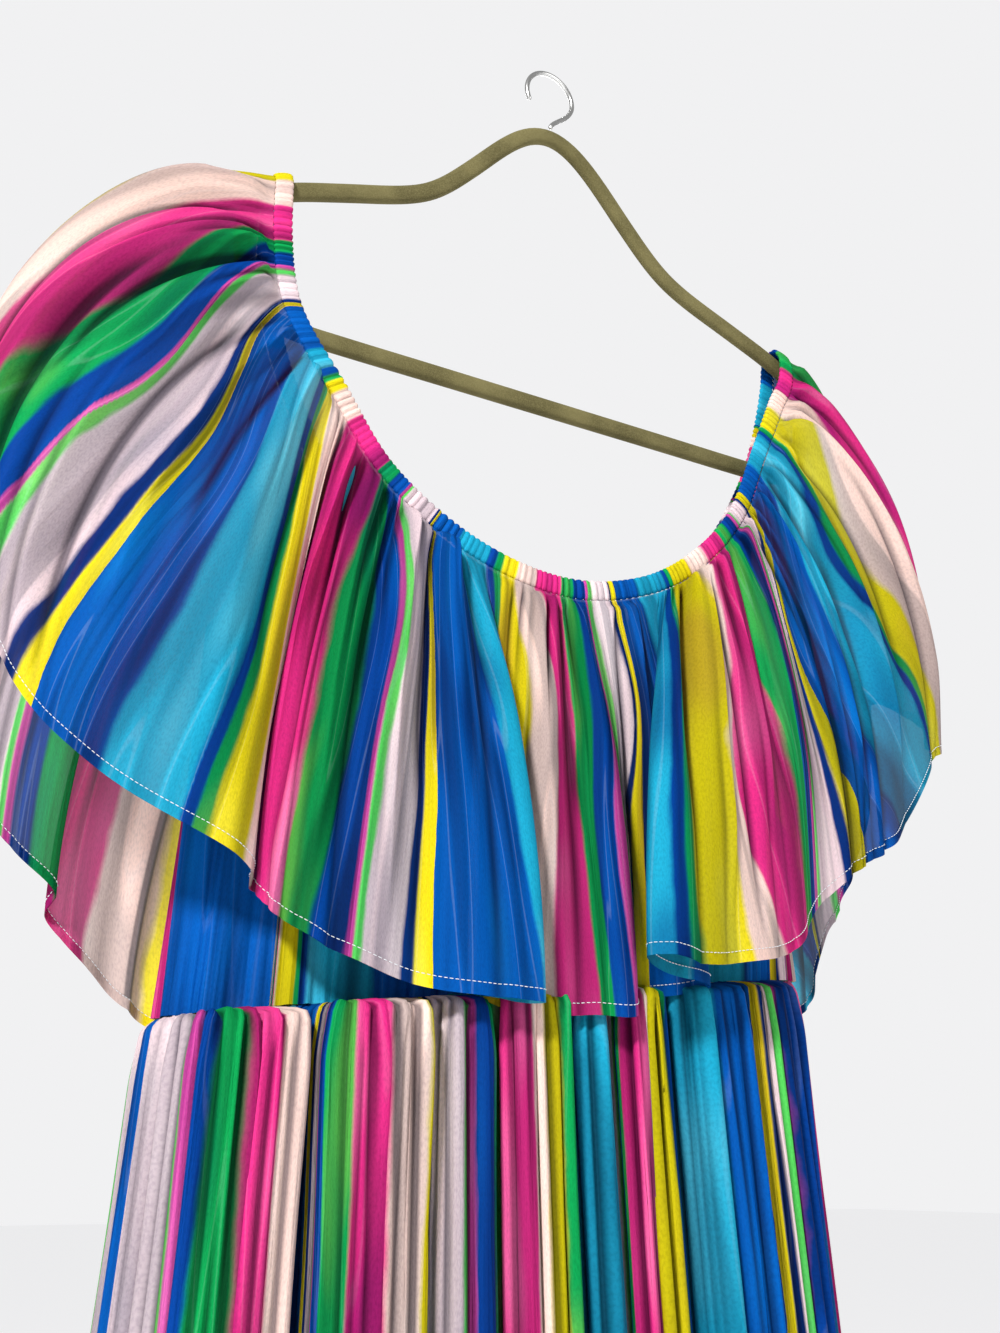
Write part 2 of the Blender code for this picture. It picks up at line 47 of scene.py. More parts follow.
# the neckline's upper edge, left shoulder to right: share, x, y, z, lean of the cloth in degrees
neck = {
    "front": [
        (0.000, -0.1910, 0.0000, -0.1592, -70),
        (0.006, -0.1912, -0.0050, -0.1602, -70),
        (0.014, -0.1916, -0.0085, -0.1650, -72),
        (0.035, -0.1920, -0.0105, -0.1800, -78),
        (0.075, -0.1920, -0.0120, -0.2070, -80),
        (0.137, -0.1860, -0.0140, -0.2480, -76),
        (0.222, -0.1580, -0.0200, -0.2980, -58),
        (0.305, -0.1280, -0.0260, -0.3440, -42),
        (0.400, -0.0770, -0.0340, -0.3810, -24),
        (0.485, -0.0220, -0.0400, -0.3950, 0),
        (0.575, 0.0360, -0.0390, -0.3820, 22),
        (0.695, 0.1010, -0.0300, -0.3360, 42),
        (0.765, 0.1310, -0.0220, -0.3000, 53),
        (0.835, 0.1520, -0.0170, -0.2580, 64),
        (0.915, 0.1760, -0.0135, -0.2090, 66),
        (0.965, 0.1905, -0.0105, -0.1800, 70),
        (0.986, 0.1916, -0.0085, -0.1650, 70),
        (0.994, 0.1912, -0.0050, -0.1602, 70),
        (1.000, 0.1910, 0.0000, -0.1592, 70),
    ],
    "back": [
        (0.000, -0.1910, 0.0000, -0.1592, -70),
        (0.006, -0.1912, 0.0050, -0.1602, -70),
        (0.014, -0.1916, 0.0085, -0.1650, -72),
        (0.035, -0.1920, 0.0105, -0.1800, -78),
        (0.075, -0.1920, 0.0120, -0.2090, -80),
        (0.137, -0.1850, 0.0135, -0.2530, -75),
        (0.222, -0.1600, 0.0180, -0.3100, -58),
        (0.305, -0.1280, 0.0230, -0.3600, -44),
        (0.400, -0.0780, 0.0290, -0.4010, -26),
        (0.500, -0.0120, 0.0330, -0.4180, 0),
        (0.600, 0.0560, 0.0310, -0.4020, 25),
        (0.695, 0.1070, 0.0260, -0.3590, 43),
        (0.778, 0.1450, 0.0200, -0.3080, 58),
        (0.863, 0.1740, 0.0145, -0.2500, 68),
        (0.925, 0.1860, 0.0120, -0.2080, 72),
        (0.965, 0.1910, 0.0105, -0.1800, 72),
        (0.986, 0.1916, 0.0085, -0.1650, 70),
        (0.994, 0.1912, 0.0050, -0.1602, 70),
        (1.000, 0.1910, 0.0000, -0.1592, 70),
    ],
}


def readTable(rows, share, column):
    # a smooth curve through one column of a table
    t = np.array([row[0] for row in rows], float)
    v = np.array([row[column] for row in rows], float)
    step = np.diff(t)
    slope = np.diff(v) / step
    lean = np.empty(len(t))
    lean[0] = slope[0]
    lean[-1] = slope[-1]
    lean[1:-1] = (slope[:-1] * step[1:] + slope[1:] * step[:-1]) / (step[1:] + step[:-1])
    share = np.clip(share, t[0], t[-1])
    i = np.clip(np.searchsorted(t, share) - 1, 0, len(t) - 2)
    w = (share - t[i]) / step[i]
    return ((2 * w**3 - 3 * w**2 + 1) * v[i] + (w**3 - 2 * w**2 + w) * step[i] * lean[i]
            + (3 * w**2 - 2 * w**3) * v[i + 1] + (w**3 - w**2) * step[i] * lean[i + 1])


def unit(vectors):
    return vectors / np.maximum(np.linalg.norm(vectors, axis=-1, keepdims=True), 1e-12)


def smoothRise(x, low, high):
    t = np.clip((x - low) / (high - low), 0, 1)
    return t * t * (3 - 2 * t)


def neckLine(rows, share):
    edge = np.stack([readTable(rows, share, c) for c in (1, 2, 3)], axis=-1)
    lean = np.radians(readTable(rows, share, 4))
    across = np.stack([np.sin(lean), np.zeros_like(lean), -np.cos(lean)], axis=-1)
    return edge, across


def gridNormals(grid):
    # outward normals of rows running down and columns running with x on the front
    down = np.gradient(grid, axis=0)
    along = (np.roll(grid, -1, axis=1) - np.roll(grid, 1, axis=1)) / 2
    return unit(np.cross(unit(down), unit(along)))


def ripple(share, count, drift):
    # gathers with round tops and narrow valleys, whose spacing and height wander along the edge
    wander = drift * np.sin(2 * math.pi * 2.3 * share + 0.7)
    wander = wander + 0.6 * drift * np.sin(2 * math.pi * 5.9 * share + 2.1)
    wander = wander + 0.35 * drift * np.sin(2 * math.pi * 13.7 * share + 4.0)
    tall = 0.72 + 0.28 * np.sin(2 * math.pi * 7.3 * share + 1.3 + drift)
    return (2 * np.abs(np.sin(math.pi * count * share + wander)) ** 0.75 - 1) * tall


def waves(table, share, down):
    # share of each column and how far down each row lies, as a height for each point
    height = np.zeros((len(down), len(share)))
    for count, drift, tall, begin, full, end in table:
        fade = smoothRise(down, begin, full) * (1 - smoothRise(down, full, end))
        height += np.outer(fade * tall, ripple(share, count, drift))
    return height


def creases(table, share, down, metres):
    # soft ridges and troughs placed one by one
    height = np.zeros((len(down), len(share)))
    for top, bottom, start, end, width, tall in table:
        line = top + (bottom - top) * down[:, None]
        away = (share[None, :] - line) * metres / width
        fade = smoothRise(down, start - 0.02, start + 0.08) * (1 - smoothRise(down, end - 0.25, end + 0.02))
        height += 1.9 * tall * np.exp(-np.abs(away) ** 1.3) * fade[:, None]
    return height


def joinSides(front, back):
    # the columns of front and back as one ring
    return np.concatenate([front, back[:, -2:0:-1]], axis=1)


def sideColumns(count, total):
    # the ring's columns that belong to each side, with the seams in both
    return {"front": list(range(count)), "back": list(range(count - 1, total)) + [0]}


def creaseShadeMask(height, reach, depth):
    # how far down in a crease each point lies, 0 to 1, from the folds on both sides of it, as a mask for
    # painted shade in the creases
    beside = (np.roll(height, reach, axis=1) + np.roll(height, -reach, axis=1)) / 2
    return np.clip((beside - height) / depth, 0, 1)


def newPiece(name, points, faces, material):
    mesh = bpy.data.meshes.new(name)
    mesh.from_pydata(points, [], faces)
    mesh.polygons.foreach_set("use_smooth", np.ones(len(mesh.polygons), bool))
    mesh.materials.append(material)
    piece = bpy.data.objects.new(name, mesh)
    bpy.context.scene.collection.objects.link(piece)
    return piece


def clothMesh(name, points, place, along, material, hollow=None):
    # a thin sheet: points by row and column, with its place on the dyed cloth as a UV map and, if given, a
    # hollow attribute that masks painted shade in creases
    rows, columns = points.shape[:2]
    number = np.arange(rows * columns).reshape(rows, columns)
    corners = np.stack([number[:-1, :-1], number[1:, :-1], number[1:, 1:], number[:-1, 1:]], axis=-1)
    piece = newPiece(name, points.reshape(-1, 3).tolist(), corners.reshape(-1, 4).tolist(), material)
    cloth = np.stack([np.broadcast_to(place, (rows, columns)),
                      np.broadcast_to(along[:, None] / repeatWidth, (rows, columns))], axis=-1)
    layer = piece.data.uv_layers.new(name="cloth")
    layer.data.foreach_set("uv", cloth.reshape(-1, 2)[corners.reshape(-1)].ravel())
    if hollow is not None:
        spots = piece.data.attributes.new("hollow", "FLOAT", "POINT")
        spots.data.foreach_set("value", np.broadcast_to(hollow, (rows, columns)).ravel())
    return piece


# where the stripes lie: repeats of the dyed cloth, then the share of the edge where that colour changes,
# once for the whole length, or at the levels that stripeLevels gives for two or four shares
stripeLevels = {1: (0.0,), 2: (0.0, 1.0), 4: (0.0, 0.3, 0.6, 1.0)}
stripes = {
    "flounceFront": [
        (0.371, 0.000, 0.000, 0.000, 0.000),
        (0.430, 0.020, 0.030, 0.028, 0.018),
        (0.504, 0.045, 0.062, 0.055, 0.042),
        (0.608, 0.082, 0.101, 0.090, 0.072),
        (0.697, 0.094, 0.124, 0.109, 0.085),
        (0.774, 0.106, 0.137, 0.122, 0.094),
        (0.804, 0.109, 0.139, 0.124, 0.098),
        (0.828, 0.115, 0.143, 0.130, 0.106),
        (0.917, 0.140, 0.168, 0.160, 0.126),
        (0.953, 0.142, 0.174, 0.167, 0.134),
        (1.000, 0.146, 0.178, 0.172, 0.147),
        (1.208, 0.186, 0.197, 0.193, 0.181),
        (1.312, 0.204, 0.214, 0.213, 0.201),
        (1.347, 0.211, 0.218, 0.216, 0.204),
        (1.371, 0.217, 0.222, 0.220, 0.208),
        (1.430, 0.227, 0.231, 0.232, 0.223),
        (1.504, 0.252, 0.243, 0.246, 0.245),
        (1.608, 0.298, 0.300, 0.301, 0.291),
        (1.697, 0.312, 0.326, 0.323, 0.310),
        (1.774, 0.326, 0.338, 0.333, 0.327),
        (1.804, 0.328, 0.341, 0.335, 0.330),
        (1.828, 0.330, 0.346, 0.340, 0.333),
        (1.917, 0.357, 0.360, 0.360, 0.355),
        (1.953, 0.359, 0.363, 0.363, 0.361),
        (2.000, 0.361, 0.365, 0.368, 0.368),
        (2.208, 0.385, 0.388, 0.393, 0.398),
        (2.312, 0.414, 0.418, 0.421, 0.425),
        (2.347, 0.421, 0.424, 0.427, 0.430),
        (2.371, 0.428, 0.430, 0.433, 0.436),
        (2.430, 0.440, 0.455, 0.453, 0.449),
        (2.504, 0.457, 0.469, 0.468, 0.467),
        (2.608, 0.480, 0.482, 0.482, 0.486),
        (2.697, 0.492, 0.491, 0.487, 0.4905),
        (2.774, 0.506, 0.503, 0.496, 0.500),
        (2.804, 0.508, 0.506, 0.502, 0.508),
        (2.828, 0.514, 0.522, 0.520, 0.520),
        (2.917, 0.531, 0.543, 0.535, 0.530),
        (2.953, 0.533, 0.545, 0.538, 0.534),
        (3.000, 0.538, 0.548, 0.545, 0.545),
        (3.208, 0.563, 0.570, 0.578, 0.585),
        (3.312, 0.601, 0.608, 0.611, 0.612),
        (3.347, 0.606, 0.616, 0.618, 0.619),
        (3.371, 0.611, 0.618, 0.623, 0.627),
        (3.430, 0.640, 0.655, 0.651, 0.663),
        (3.504, 0.668, 0.670, 0.659, 0.690),
        (3.608, 0.702, 0.704, 0.722, 0.715),
        (3.697, 0.720, 0.733, 0.732, 0.722),
        (3.774, 0.735, 0.7365, 0.7355, 0.727),
        (3.828, 0.740, 0.739, 0.7375, 0.732),
        (3.917, 0.762, 0.7425, 0.740, 0.7485),
        (3.953, 0.766, 0.7435, 0.743, 0.759),
        (4.000, 0.777, 0.746, 0.750, 0.793),
        (4.208, 0.817, 0.787, 0.798, 0.847),
        (4.312, 0.863, 0.830, 0.857, 0.884),
        (4.347, 0.868, 0.838, 0.861, 0.888),
        (4.371, 0.874, 0.846, 0.865, 0.892),
        (4.430, 0.903, 0.868, 0.881, 0.905),
        (4.504, 0.935, 0.910, 0.925, 0.940),
        (4.608, 0.972, 0.960, 0.965, 0.975),
        (4.697, 0.992, 0.990, 0.990, 0.992),
        (4.774, 1.000, 1.000, 1.000, 1.000),
    ],
    "flounceBack": [
        (1.430, 0.000, 0.000),
        (1.000, 0.085, 0.085),
        (0.953, 0.095, 0.095),
        (0.917, 0.101, 0.101),
        (0.828, 0.118, 0.118),
        (0.774, 0.125, 0.125),
        (0.697, 0.135, 0.135),
        (0.608, 0.155, 0.155),
        (0.504, 0.210, 0.210),
        (0.430, 0.245, 0.258),
        (0.371, 0.300, 0.310),
        (0.312, 0.325, 0.325),
        (0.208, 0.360, 0.360),
        (0.000, 0.420, 0.420),
        (-0.570, 0.602, 0.790),
        (-0.629, 0.622, 0.800),
        (-0.653, 0.630, 0.810),
        (-0.688, 0.642, 0.825),
        (-0.792, 0.677, 0.850),
        (-1.000, 0.755, 0.862),
        (-1.083, 0.800, 0.865),
        (-1.172, 0.820, 0.890),
        (-1.196, 0.822, 0.900),
        (-1.226, 0.825, 0.910),
        (-1.303, 0.835, 0.940),
        (-1.392, 0.845, 0.960),
        (-1.496, 0.888, 0.985),
        (-1.570, 0.900, 0.988),
        (-1.629, 0.912, 0.991),
        (-1.688, 0.915, 0.993),
        (-1.792, 0.965, 0.995),
        (-1.970, 1.000, 1.000),
    ],
    "bodiceFront": [
        (0.204, 0.000),
        (0.004, 0.203),
        (-0.570, 0.207),
        (-0.629, 0.228),
        (-0.653, 0.234),
        (-0.688, 0.240),
        (-0.792, 0.310),
        (-1.000, 0.400),
        (-2.688, 0.655),
        (-2.792, 0.720),
        (-3.000, 0.790),
        (-3.900, 1.000),
    ],
    "bodiceBack": [
        (0.600, 0.000),
        (-3.200, 1.000),
    ],
    "skirtFront": [
        (0.916, 0.000),
        (0.828, 0.068),
        (0.804, 0.071),
        (0.774, 0.076),
        (0.697, 0.085),
        (0.608, 0.100),
        (0.504, 0.124),
        (0.430, 0.140),
        (0.371, 0.143),
        (0.208, 0.159),
        (0.000, 0.196),
        (-0.226, 0.203),
        (-0.303, 0.208),
        (-0.392, 0.219),
        (-0.496, 0.242),
        (-0.570, 0.261),
        (-0.629, 0.271),
        (-0.688, 0.278),
        (-0.792, 0.288),
        (-1.000, 0.310),
        (-1.083, 0.320),
        (-1.172, 0.340),
        (-1.196, 0.344),
        (-1.226, 0.346),
        (-1.303, 0.355),
        (-1.392, 0.415),
        (-1.496, 0.432),
        (-1.570, 0.444),
        (-1.629, 0.456),
        (-1.688, 0.472),
        (-1.792, 0.549),
        (-2.000, 0.583),
        (-2.047, 0.586),
        (-2.083, 0.590),
        (-2.172, 0.596),
        (-2.226, 0.600),
        (-2.303, 0.603),
        (-2.392, 0.604),
        (-2.496, 0.615),
        (-2.570, 0.618),
        (-2.629, 0.636),
        (-2.688, 0.647),
        (-2.792, 0.719),
        (-3.000, 0.803),
        (-3.047, 0.806),
        (-3.083, 0.812),
        (-3.172, 0.818),
        (-3.196, 0.823),
        (-3.226, 0.826),
        (-3.303, 0.905),
        (-3.700, 1.000),
    ],
    "skirtBack": [
        (1.050, 0.000),
        (-3.900, 1.000),
    ],
}


def stripePlace(rows, share, down):
    # repeats of the dyed cloth at each row and column
    table = np.array(rows)
    levels = stripeLevels[table.shape[1] - 1]
    place = []
    for level in down:
        if len(levels) == 4:
            edges = np.array([float(readTable(list(zip(levels, row[1:])), level, 1)) for row in table])
        else:
            edges = np.array([np.interp(level, levels, row[1:]) for row in table])
        place.append(np.interp(share, np.maximum.accumulate(edges), table[:, 0]))
    return np.array(place)


def evenColumns(path, share, count):
    # shares that space the columns evenly, half by share and half by the length of the hem
    run = np.concatenate([[0], np.cumsum(np.linalg.norm(np.diff(path, axis=0), axis=1))])
    return np.interp(np.linspace(0, 1, count), run / run[-1] / 2 + share / 2, share)


def stitchRow(line, normals, pitch, length, thickness):
    # one row of stitches: tapered threads lying along a line, as points and faces
    run = np.concatenate([[0], np.cumsum(np.linalg.norm(np.diff(line, axis=0), axis=1))])
    points = []
    faces = []
    for start in np.arange(pitch / 2, run[-1] - length, pitch):
        spot = [start, start + length * 0.2, start + length * 0.8, start + length]
        centre = np.stack([np.interp(spot, run, line[:, c]) for c in range(3)], axis=-1)
        out = unit(np.stack([np.interp(spot, run, normals[:, c]) for c in range(3)], axis=-1))
        side = unit(np.cross(out, centre[-1] - centre[0]))
        raised = np.array([0.0, 1.0, 1.0, 0.0])[:, None]
        half = thickness / 2
        first = len(points)
        points.append(centre[0])
        for k in (1, 2):
            points += [centre[k] + out[k] * half * 2, centre[k] + side[k] * half,
                       centre[k] - out[k] * half * 0.5, centre[k] - side[k] * half]
        points.append(centre[3])
        for k in range(4):
            n = (k + 1) % 4
            faces.append((first, first + 1 + n, first + 1 + k))
            faces.append((first + 1 + k, first + 1 + n, first + 5 + n, first + 5 + k))
            faces.append((first + 9, first + 5 + k, first + 5 + n))
    return points, faces


def threadPiece(name, rows, material):
    points = []
    faces = []
    for rowPoints, rowFaces in rows:
        faces += [tuple(i + len(points) for i in face) for face in rowFaces]
        points += rowPoints
    return newPiece(name, [tuple(p) for p in points], faces, material)


class Signal:
    # a shader socket whose arithmetic adds Math nodes
    def __init__(self, finish, socket):
        self.finish = finish
        self.socket = socket

    def combine(self, kind, first, second):
        return self.finish.node("ShaderNodeMath", {"operation": kind}, {0: first, 1: second})

    def __add__(self, other):
        return self.combine("ADD", self, other)

    __radd__ = __add__

    def __sub__(self, other):
        return self.combine("SUBTRACT", self, other)

    def __rsub__(self, other):
        return self.combine("SUBTRACT", other, self)

    def __mul__(self, other):
        return self.combine("MULTIPLY", self, other)

    def fraction(self):
        return self.finish.node("ShaderNodeMath", {"operation": "FRACT"}, {0: self})

    def between(self, low, high):
        sockets = {"Value": self, "From Min": low, "From Max": high}
        return self.finish.node("ShaderNodeMapRange", {"interpolation_type": "SMOOTHSTEP"}, sockets)


class Finish:
    # one material and the nodes that make it
    def __init__(self, name):
        self.material = bpy.data.materials.new(name)
        self.material.use_nodes = True
        self.tree = self.material.node_tree
        self.tree.nodes.clear()

    def node(self, kind, settings, sockets, out=0):
        made = self.tree.nodes.new(kind)
        for key, value in settings.items():
            if key == "stops":
                self.fillRamp(made.color_ramp, value)
            else:
                setattr(made, key, value)
        for key, value in sockets.items():
            if isinstance(value, Signal):
                self.tree.links.new(value.socket, made.inputs[key])
            else:
                made.inputs[key].default_value = value
        return Signal(self, made.outputs[out]) if len(made.outputs) else None

    def fillRamp(self, ramp, stops):
        for element, (position, shade) in zip((ramp.elements[0], ramp.elements[1]), (stops[0], stops[-1])):
            element.position = position
            element.color = shade
        for position, shade in stops[1:-1]:
            ramp.elements.new(position).color = shade

    def noise(self, vector, scale, stretch=(1, 1, 1), detail=2.0, roughness=0.5):
        size = tuple(scale * s for s in stretch)
        moved = self.node("ShaderNodeMapping", {}, {"Vector": vector, "Scale": size})
        return self.node("ShaderNodeTexNoise", {}, {"Vector": moved, "Scale": 1.0, "Detail": detail,
                                                    "Roughness": roughness})

    def blend(self, factor, first, second, kind="MIX"):
        settings = {"data_type": "RGBA", "blend_type": kind}
        return self.node("ShaderNodeMix", settings, {0: factor, 6: first, 7: second}, out=2)

    def bump(self, height, distance, under=None):
        sockets = {"Height": height, "Distance": distance, "Strength": 1.0}
        if under is not None:
            sockets["Normal"] = under
        return self.node("ShaderNodeBump", {}, sockets)

    def surface(self, sockets):
        body = self.node("ShaderNodeBsdfPrincipled", {}, sockets)
        self.node("ShaderNodeOutputMaterial", {}, {"Surface": body})
        return self.material


def paint(rgb):
    # an sRGB colour out of 255 as Blender's linear one
    shades = [c / 255 for c in rgb]
    return tuple(c / 12.92 if c <= 0.04045 else ((c + 0.055) / 1.055) ** 2.4 for c in shades) + (1.0,)


# half the width over which two dyes meet
dyeEdge = 0.004

# the dyed repeat: colour and where it ends
dyes = [
    ("deepBlue", 0.208),
    ("turquoise", 0.312),
    ("blue", 0.347),
    ("green", 0.371),
    ("yellow", 0.430),
    ("cream", 0.504),
    ("pink", 0.608),
    ("green", 0.697),
    ("blue", 0.774),
    ("orchid", 0.804),
    ("mint", 0.828),
    ("lilac", 0.917),
    ("navy", 0.953),
    ("yellow", 1.000),
]
# each dye in a pale tone, partly real tone and partly painted sheen, its even tone, and a deep tone, partly
# real tone and partly painted shade
dyeSheenShadeColours = {
    "deepBlue": ((0, 110, 190), (0, 84, 168), (0, 52, 122)),
    "turquoise": ((104, 208, 226), (28, 164, 198), (10, 104, 152)),
    "blue": ((0, 86, 172), (0, 62, 146), (0, 40, 108)),
    "green": ((112, 198, 74), (10, 156, 78), (2, 116, 84)),
    "yellow": ((240, 228, 72), (232, 212, 18), (212, 176, 40)),
    "cream": ((250, 230, 218), (240, 208, 196), (210, 178, 166)),
    "pink": ((246, 122, 172), (218, 44, 126), (150, 20, 106)),
    "orchid": ((232, 116, 184), (206, 70, 156), (158, 44, 132)),
    "mint": ((140, 222, 112), (84, 202, 88), (40, 162, 84)),
    "lilac": ((242, 222, 222), (226, 202, 206), (196, 182, 194)),
    "navy": ((0, 60, 136), (0, 40, 108), (0, 26, 80)),
}


def dyeStops(tone):
    # the colour ramp of one repeat, for tone 0 pale (partly painted sheen), 1 even or 2 deep (partly painted
    # shade)
    stops = []
    start = 0.0
    for name, end in dyes:
        shade = paint(dyeSheenShadeColours[name][tone])
        stops.append((start + dyeEdge if stops else 0.0, shade))
        stops.append((end - dyeEdge if end < 1 else 1.0, shade))
        start = end
    return stops


def chiffon(name, look):
    # striped chiffon: dyed bands with soft edges, paler and deeper tones along them that are partly real
    # tone and partly painted sheen and shade, painted shade in pleat bands, streaks and crease hollows,
    # painted highlights on ridges, fine crinkles and weave
    f = Finish(name)
    cloth = f.node("ShaderNodeUVMap", {"uv_map": "cloth"}, {})
    across = f.node("ShaderNodeSeparateXYZ", {}, {"Vector": cloth}, out=0)
    sway = f.noise(cloth, 1.0, (4, 2.4, 1), detail=2.0)
    fray = f.noise(cloth, 1.0, (52, 13, 1), detail=2.0)
    place = (across + (sway - 0.5) * look["edgeSway"] + (fray - 0.5) * look["edgeFray"]).fraction()
    ramps = [f.node("ShaderNodeValToRGB", {"stops": dyeStops(tone)}, {"Fac": place}) for tone in (0, 1, 2)]
    pale, even, deep = ramps
    # random patches of the pale and deep tones: partly real tone, partly painted sheen and painted shade
    run = f.noise(cloth, 1.0, (6.5, 1.5, 1), detail=2.0)
    dyeWithSheenShade = f.blend(run.between(0.53, 0.68) * look["run"], even, pale)
    dyeWithSheenShade = f.blend((1 - run.between(0.33, 0.46)) * look["run"], dyeWithSheenShade, deep)
    cloud = f.noise(cloth, 1.0, (11, 2.2, 1), detail=3.0, roughness=0.55)
    shadeStreaks = f.noise(cloth, 1.0, (19, 1.0, 1), detail=2.0)
    pleatLightNoise = f.noise(cloth, 1.0, (14, 0.8, 1), detail=1.0)
    grain = f.noise(cloth, 1.0, (520, 150, 1), detail=2.0)
    # painted shade: darker noise bands along the cloth that stand for the shade of pleats
    pleatShadeAndHighlight = f.blend(pleatLightNoise.between(0.49, 0.53) * look["pleatShade"], dyeWithSheenShade, paint((166, 176, 184)), "MULTIPLY")
    # painted highlight: thin pale lines at the edges of the pleat bands, where fold ridges would catch light
    ridgeHighlight = pleatLightNoise.between(0.474, 0.482) * (1 - pleatLightNoise.between(0.486, 0.494))
    pleatShadeAndHighlight = f.blend(ridgeHighlight * look["ridgeHighlight"], pleatShadeAndHighlight, paint((214, 232, 244)))
    # painted shade in long streaks down the cloth, as the shade of fine pleats; depth sets how strong
    shaded = f.blend(shadeStreaks.between(0.44, 0.72) * look["depth"], pleatShadeAndHighlight, paint((92, 106, 124)), "MULTIPLY")
    # painted shade: darker in the hollows of creases and pleats, read from the hollow attribute
    hollow = f.node("ShaderNodeAttribute", {"attribute_name": "hollow"}, {}, out=2)
    creaseShaded = f.blend(hollow * look["creases"], shaded, paint((84, 86, 100)), "MULTIPLY")
    specks = grain.between(0.35, 0.75) * look["grain"]
    speckled = f.blend(specks, creaseShaded, paint((150, 150, 165)), "MULTIPLY")
    crinkle = f.noise(cloth, 1.0, (22, 1.6, 1), detail=1.0)
    fine = f.noise(cloth, 1.0, (82, 5.0, 1), detail=2.0)
    lie = f.bump(crinkle, look["crinkle"])
    lie = f.bump(fine, look["fine"], under=lie)
    lie = f.bump(grain, 0.00014, under=lie)
    roughness = 0.56 + grain * 0.16 + cloud * 0.08
    body = f.node("ShaderNodeBsdfPrincipled", {}, {
        "Base Color": speckled, "Roughness": roughness, "Normal": lie, "Specular IOR Level": 0.05,
        "Sheen Weight": 0.0, "Alpha": look["alpha"]})
    glow = f.node("ShaderNodeBsdfTranslucent", {}, {"Color": speckled, "Normal": lie})
    mixed = f.node("ShaderNodeMixShader", {}, {0: look["glow"], 1: body, 2: glow})
    f.node("ShaderNodeOutputMaterial", {}, {"Surface": mixed})
    return f.material


def flock(name, look):
    # short velvet flock on a moulded hanger
    f = Finish(name)
    spot = f.node("ShaderNodeTexCoord", {}, {}, out=3)
    patches = f.noise(spot, 26.0, detail=3.0)
    fibre = f.noise(spot, 1500.0, detail=2.0)
    worn = f.noise(spot, 160.0, detail=2.0)
    shade = f.blend(patches.between(0.35, 0.7), paint(look["deep"]), paint(look["pale"]))
    shade = f.blend(fibre.between(0.35, 0.75) * 0.45, shade, paint(look["tip"]))
    nap = f.bump(fibre, 0.00035)
    nap = f.bump(worn, 0.00018, under=nap)
    return f.surface({
        "Base Color": shade, "Roughness": 0.86 + worn * 0.1, "Normal": nap, "Specular IOR Level": 0.2,
        "Sheen Weight": 0.45, "Sheen Roughness": 0.5, "Sheen Tint": paint(look["tip"])})


def brightWire(name, shadeRgb):
    # plated steel wire with faint drawing marks
    f = Finish(name)
    spot = f.node("ShaderNodeTexCoord", {}, {}, out=3)
    marks = f.noise(spot, 90.0, (1, 6, 1), detail=3.0)
    smudge = f.noise(spot, 40.0, detail=2.0)
    return f.surface({
        "Base Color": paint(shadeRgb), "Metallic": 1.0, "Roughness": 0.16 + smudge * 0.16,
        "Normal": f.bump(marks, 0.00003)})


def thread(name, shadeRgb):
    f = Finish(name)
    spot = f.node("ShaderNodeTexCoord", {}, {}, out=3)
    twist = f.noise(spot, 1800.0, detail=1.0)
    shade = f.blend(twist, paint(shadeRgb), paint([c * 0.8 for c in shadeRgb]))
    return f.surface({
        "Base Color": shade, "Roughness": 0.6, "Normal": f.bump(twist, 0.00008), "Sheen Weight": 0.2})


# in each look, run sets the random pale and deep tones, partly painted sheen and shade; depth sets the
# painted streak shade and creases the painted crease shade; the pleat and ridge entries set painted pleat
# shade and painted highlights
flounceCloth = chiffon("flounceChiffon", {
    "creases": 0.80, "edgeSway": 0.045, "edgeFray": 0.010, "run": 0.85, "pleatShade": 0.60, "ridgeHighlight": 0.07,
    "depth": 0.50, "grain": 0.28, "crinkle": 0.0036, "fine": 0.0005, "alpha": 0.93, "glow": 0.28})
casingCloth = chiffon("casingChiffon", {
    "creases": 0.65, "edgeSway": 0.040, "edgeFray": 0.014, "run": 0.60, "pleatShade": 0.4, "ridgeHighlight": 0.0,
    "depth": 0.40, "grain": 0.28, "crinkle": 0.0010, "fine": 0.0006, "alpha": 1.0, "glow": 0.08})
# the bodice's strong painted shade streaks stand for the shade under the flounce
bodiceCloth = chiffon("bodiceChiffon", {
    "creases": 0.50, "edgeSway": 0.030, "edgeFray": 0.010, "run": 0.50, "pleatShade": 0.6, "ridgeHighlight": 0.02,
    "depth": 0.85, "grain": 0.28, "crinkle": 0.0040, "fine": 0.0008, "alpha": 1.0, "glow": 0.15})
skirtCloth = chiffon("skirtChiffon", {
    "creases": 0.78, "edgeSway": 0.020, "edgeFray": 0.010, "run": 0.60, "pleatShade": 0.6, "ridgeHighlight": 0.04,
    "depth": 0.38, "grain": 0.28, "crinkle": 0.0045, "fine": 0.0014, "alpha": 1.0, "glow": 0.18})
hangerFlock = flock("hangerFlock", {"deep": (76, 70, 40), "pale": (100, 93, 58), "tip": (124, 117, 80)})
hookSteel = brightWire("hookSteel", (206, 206, 204))
stitchThread = thread("stitchThread", (236, 240, 244))
print("finishes made")


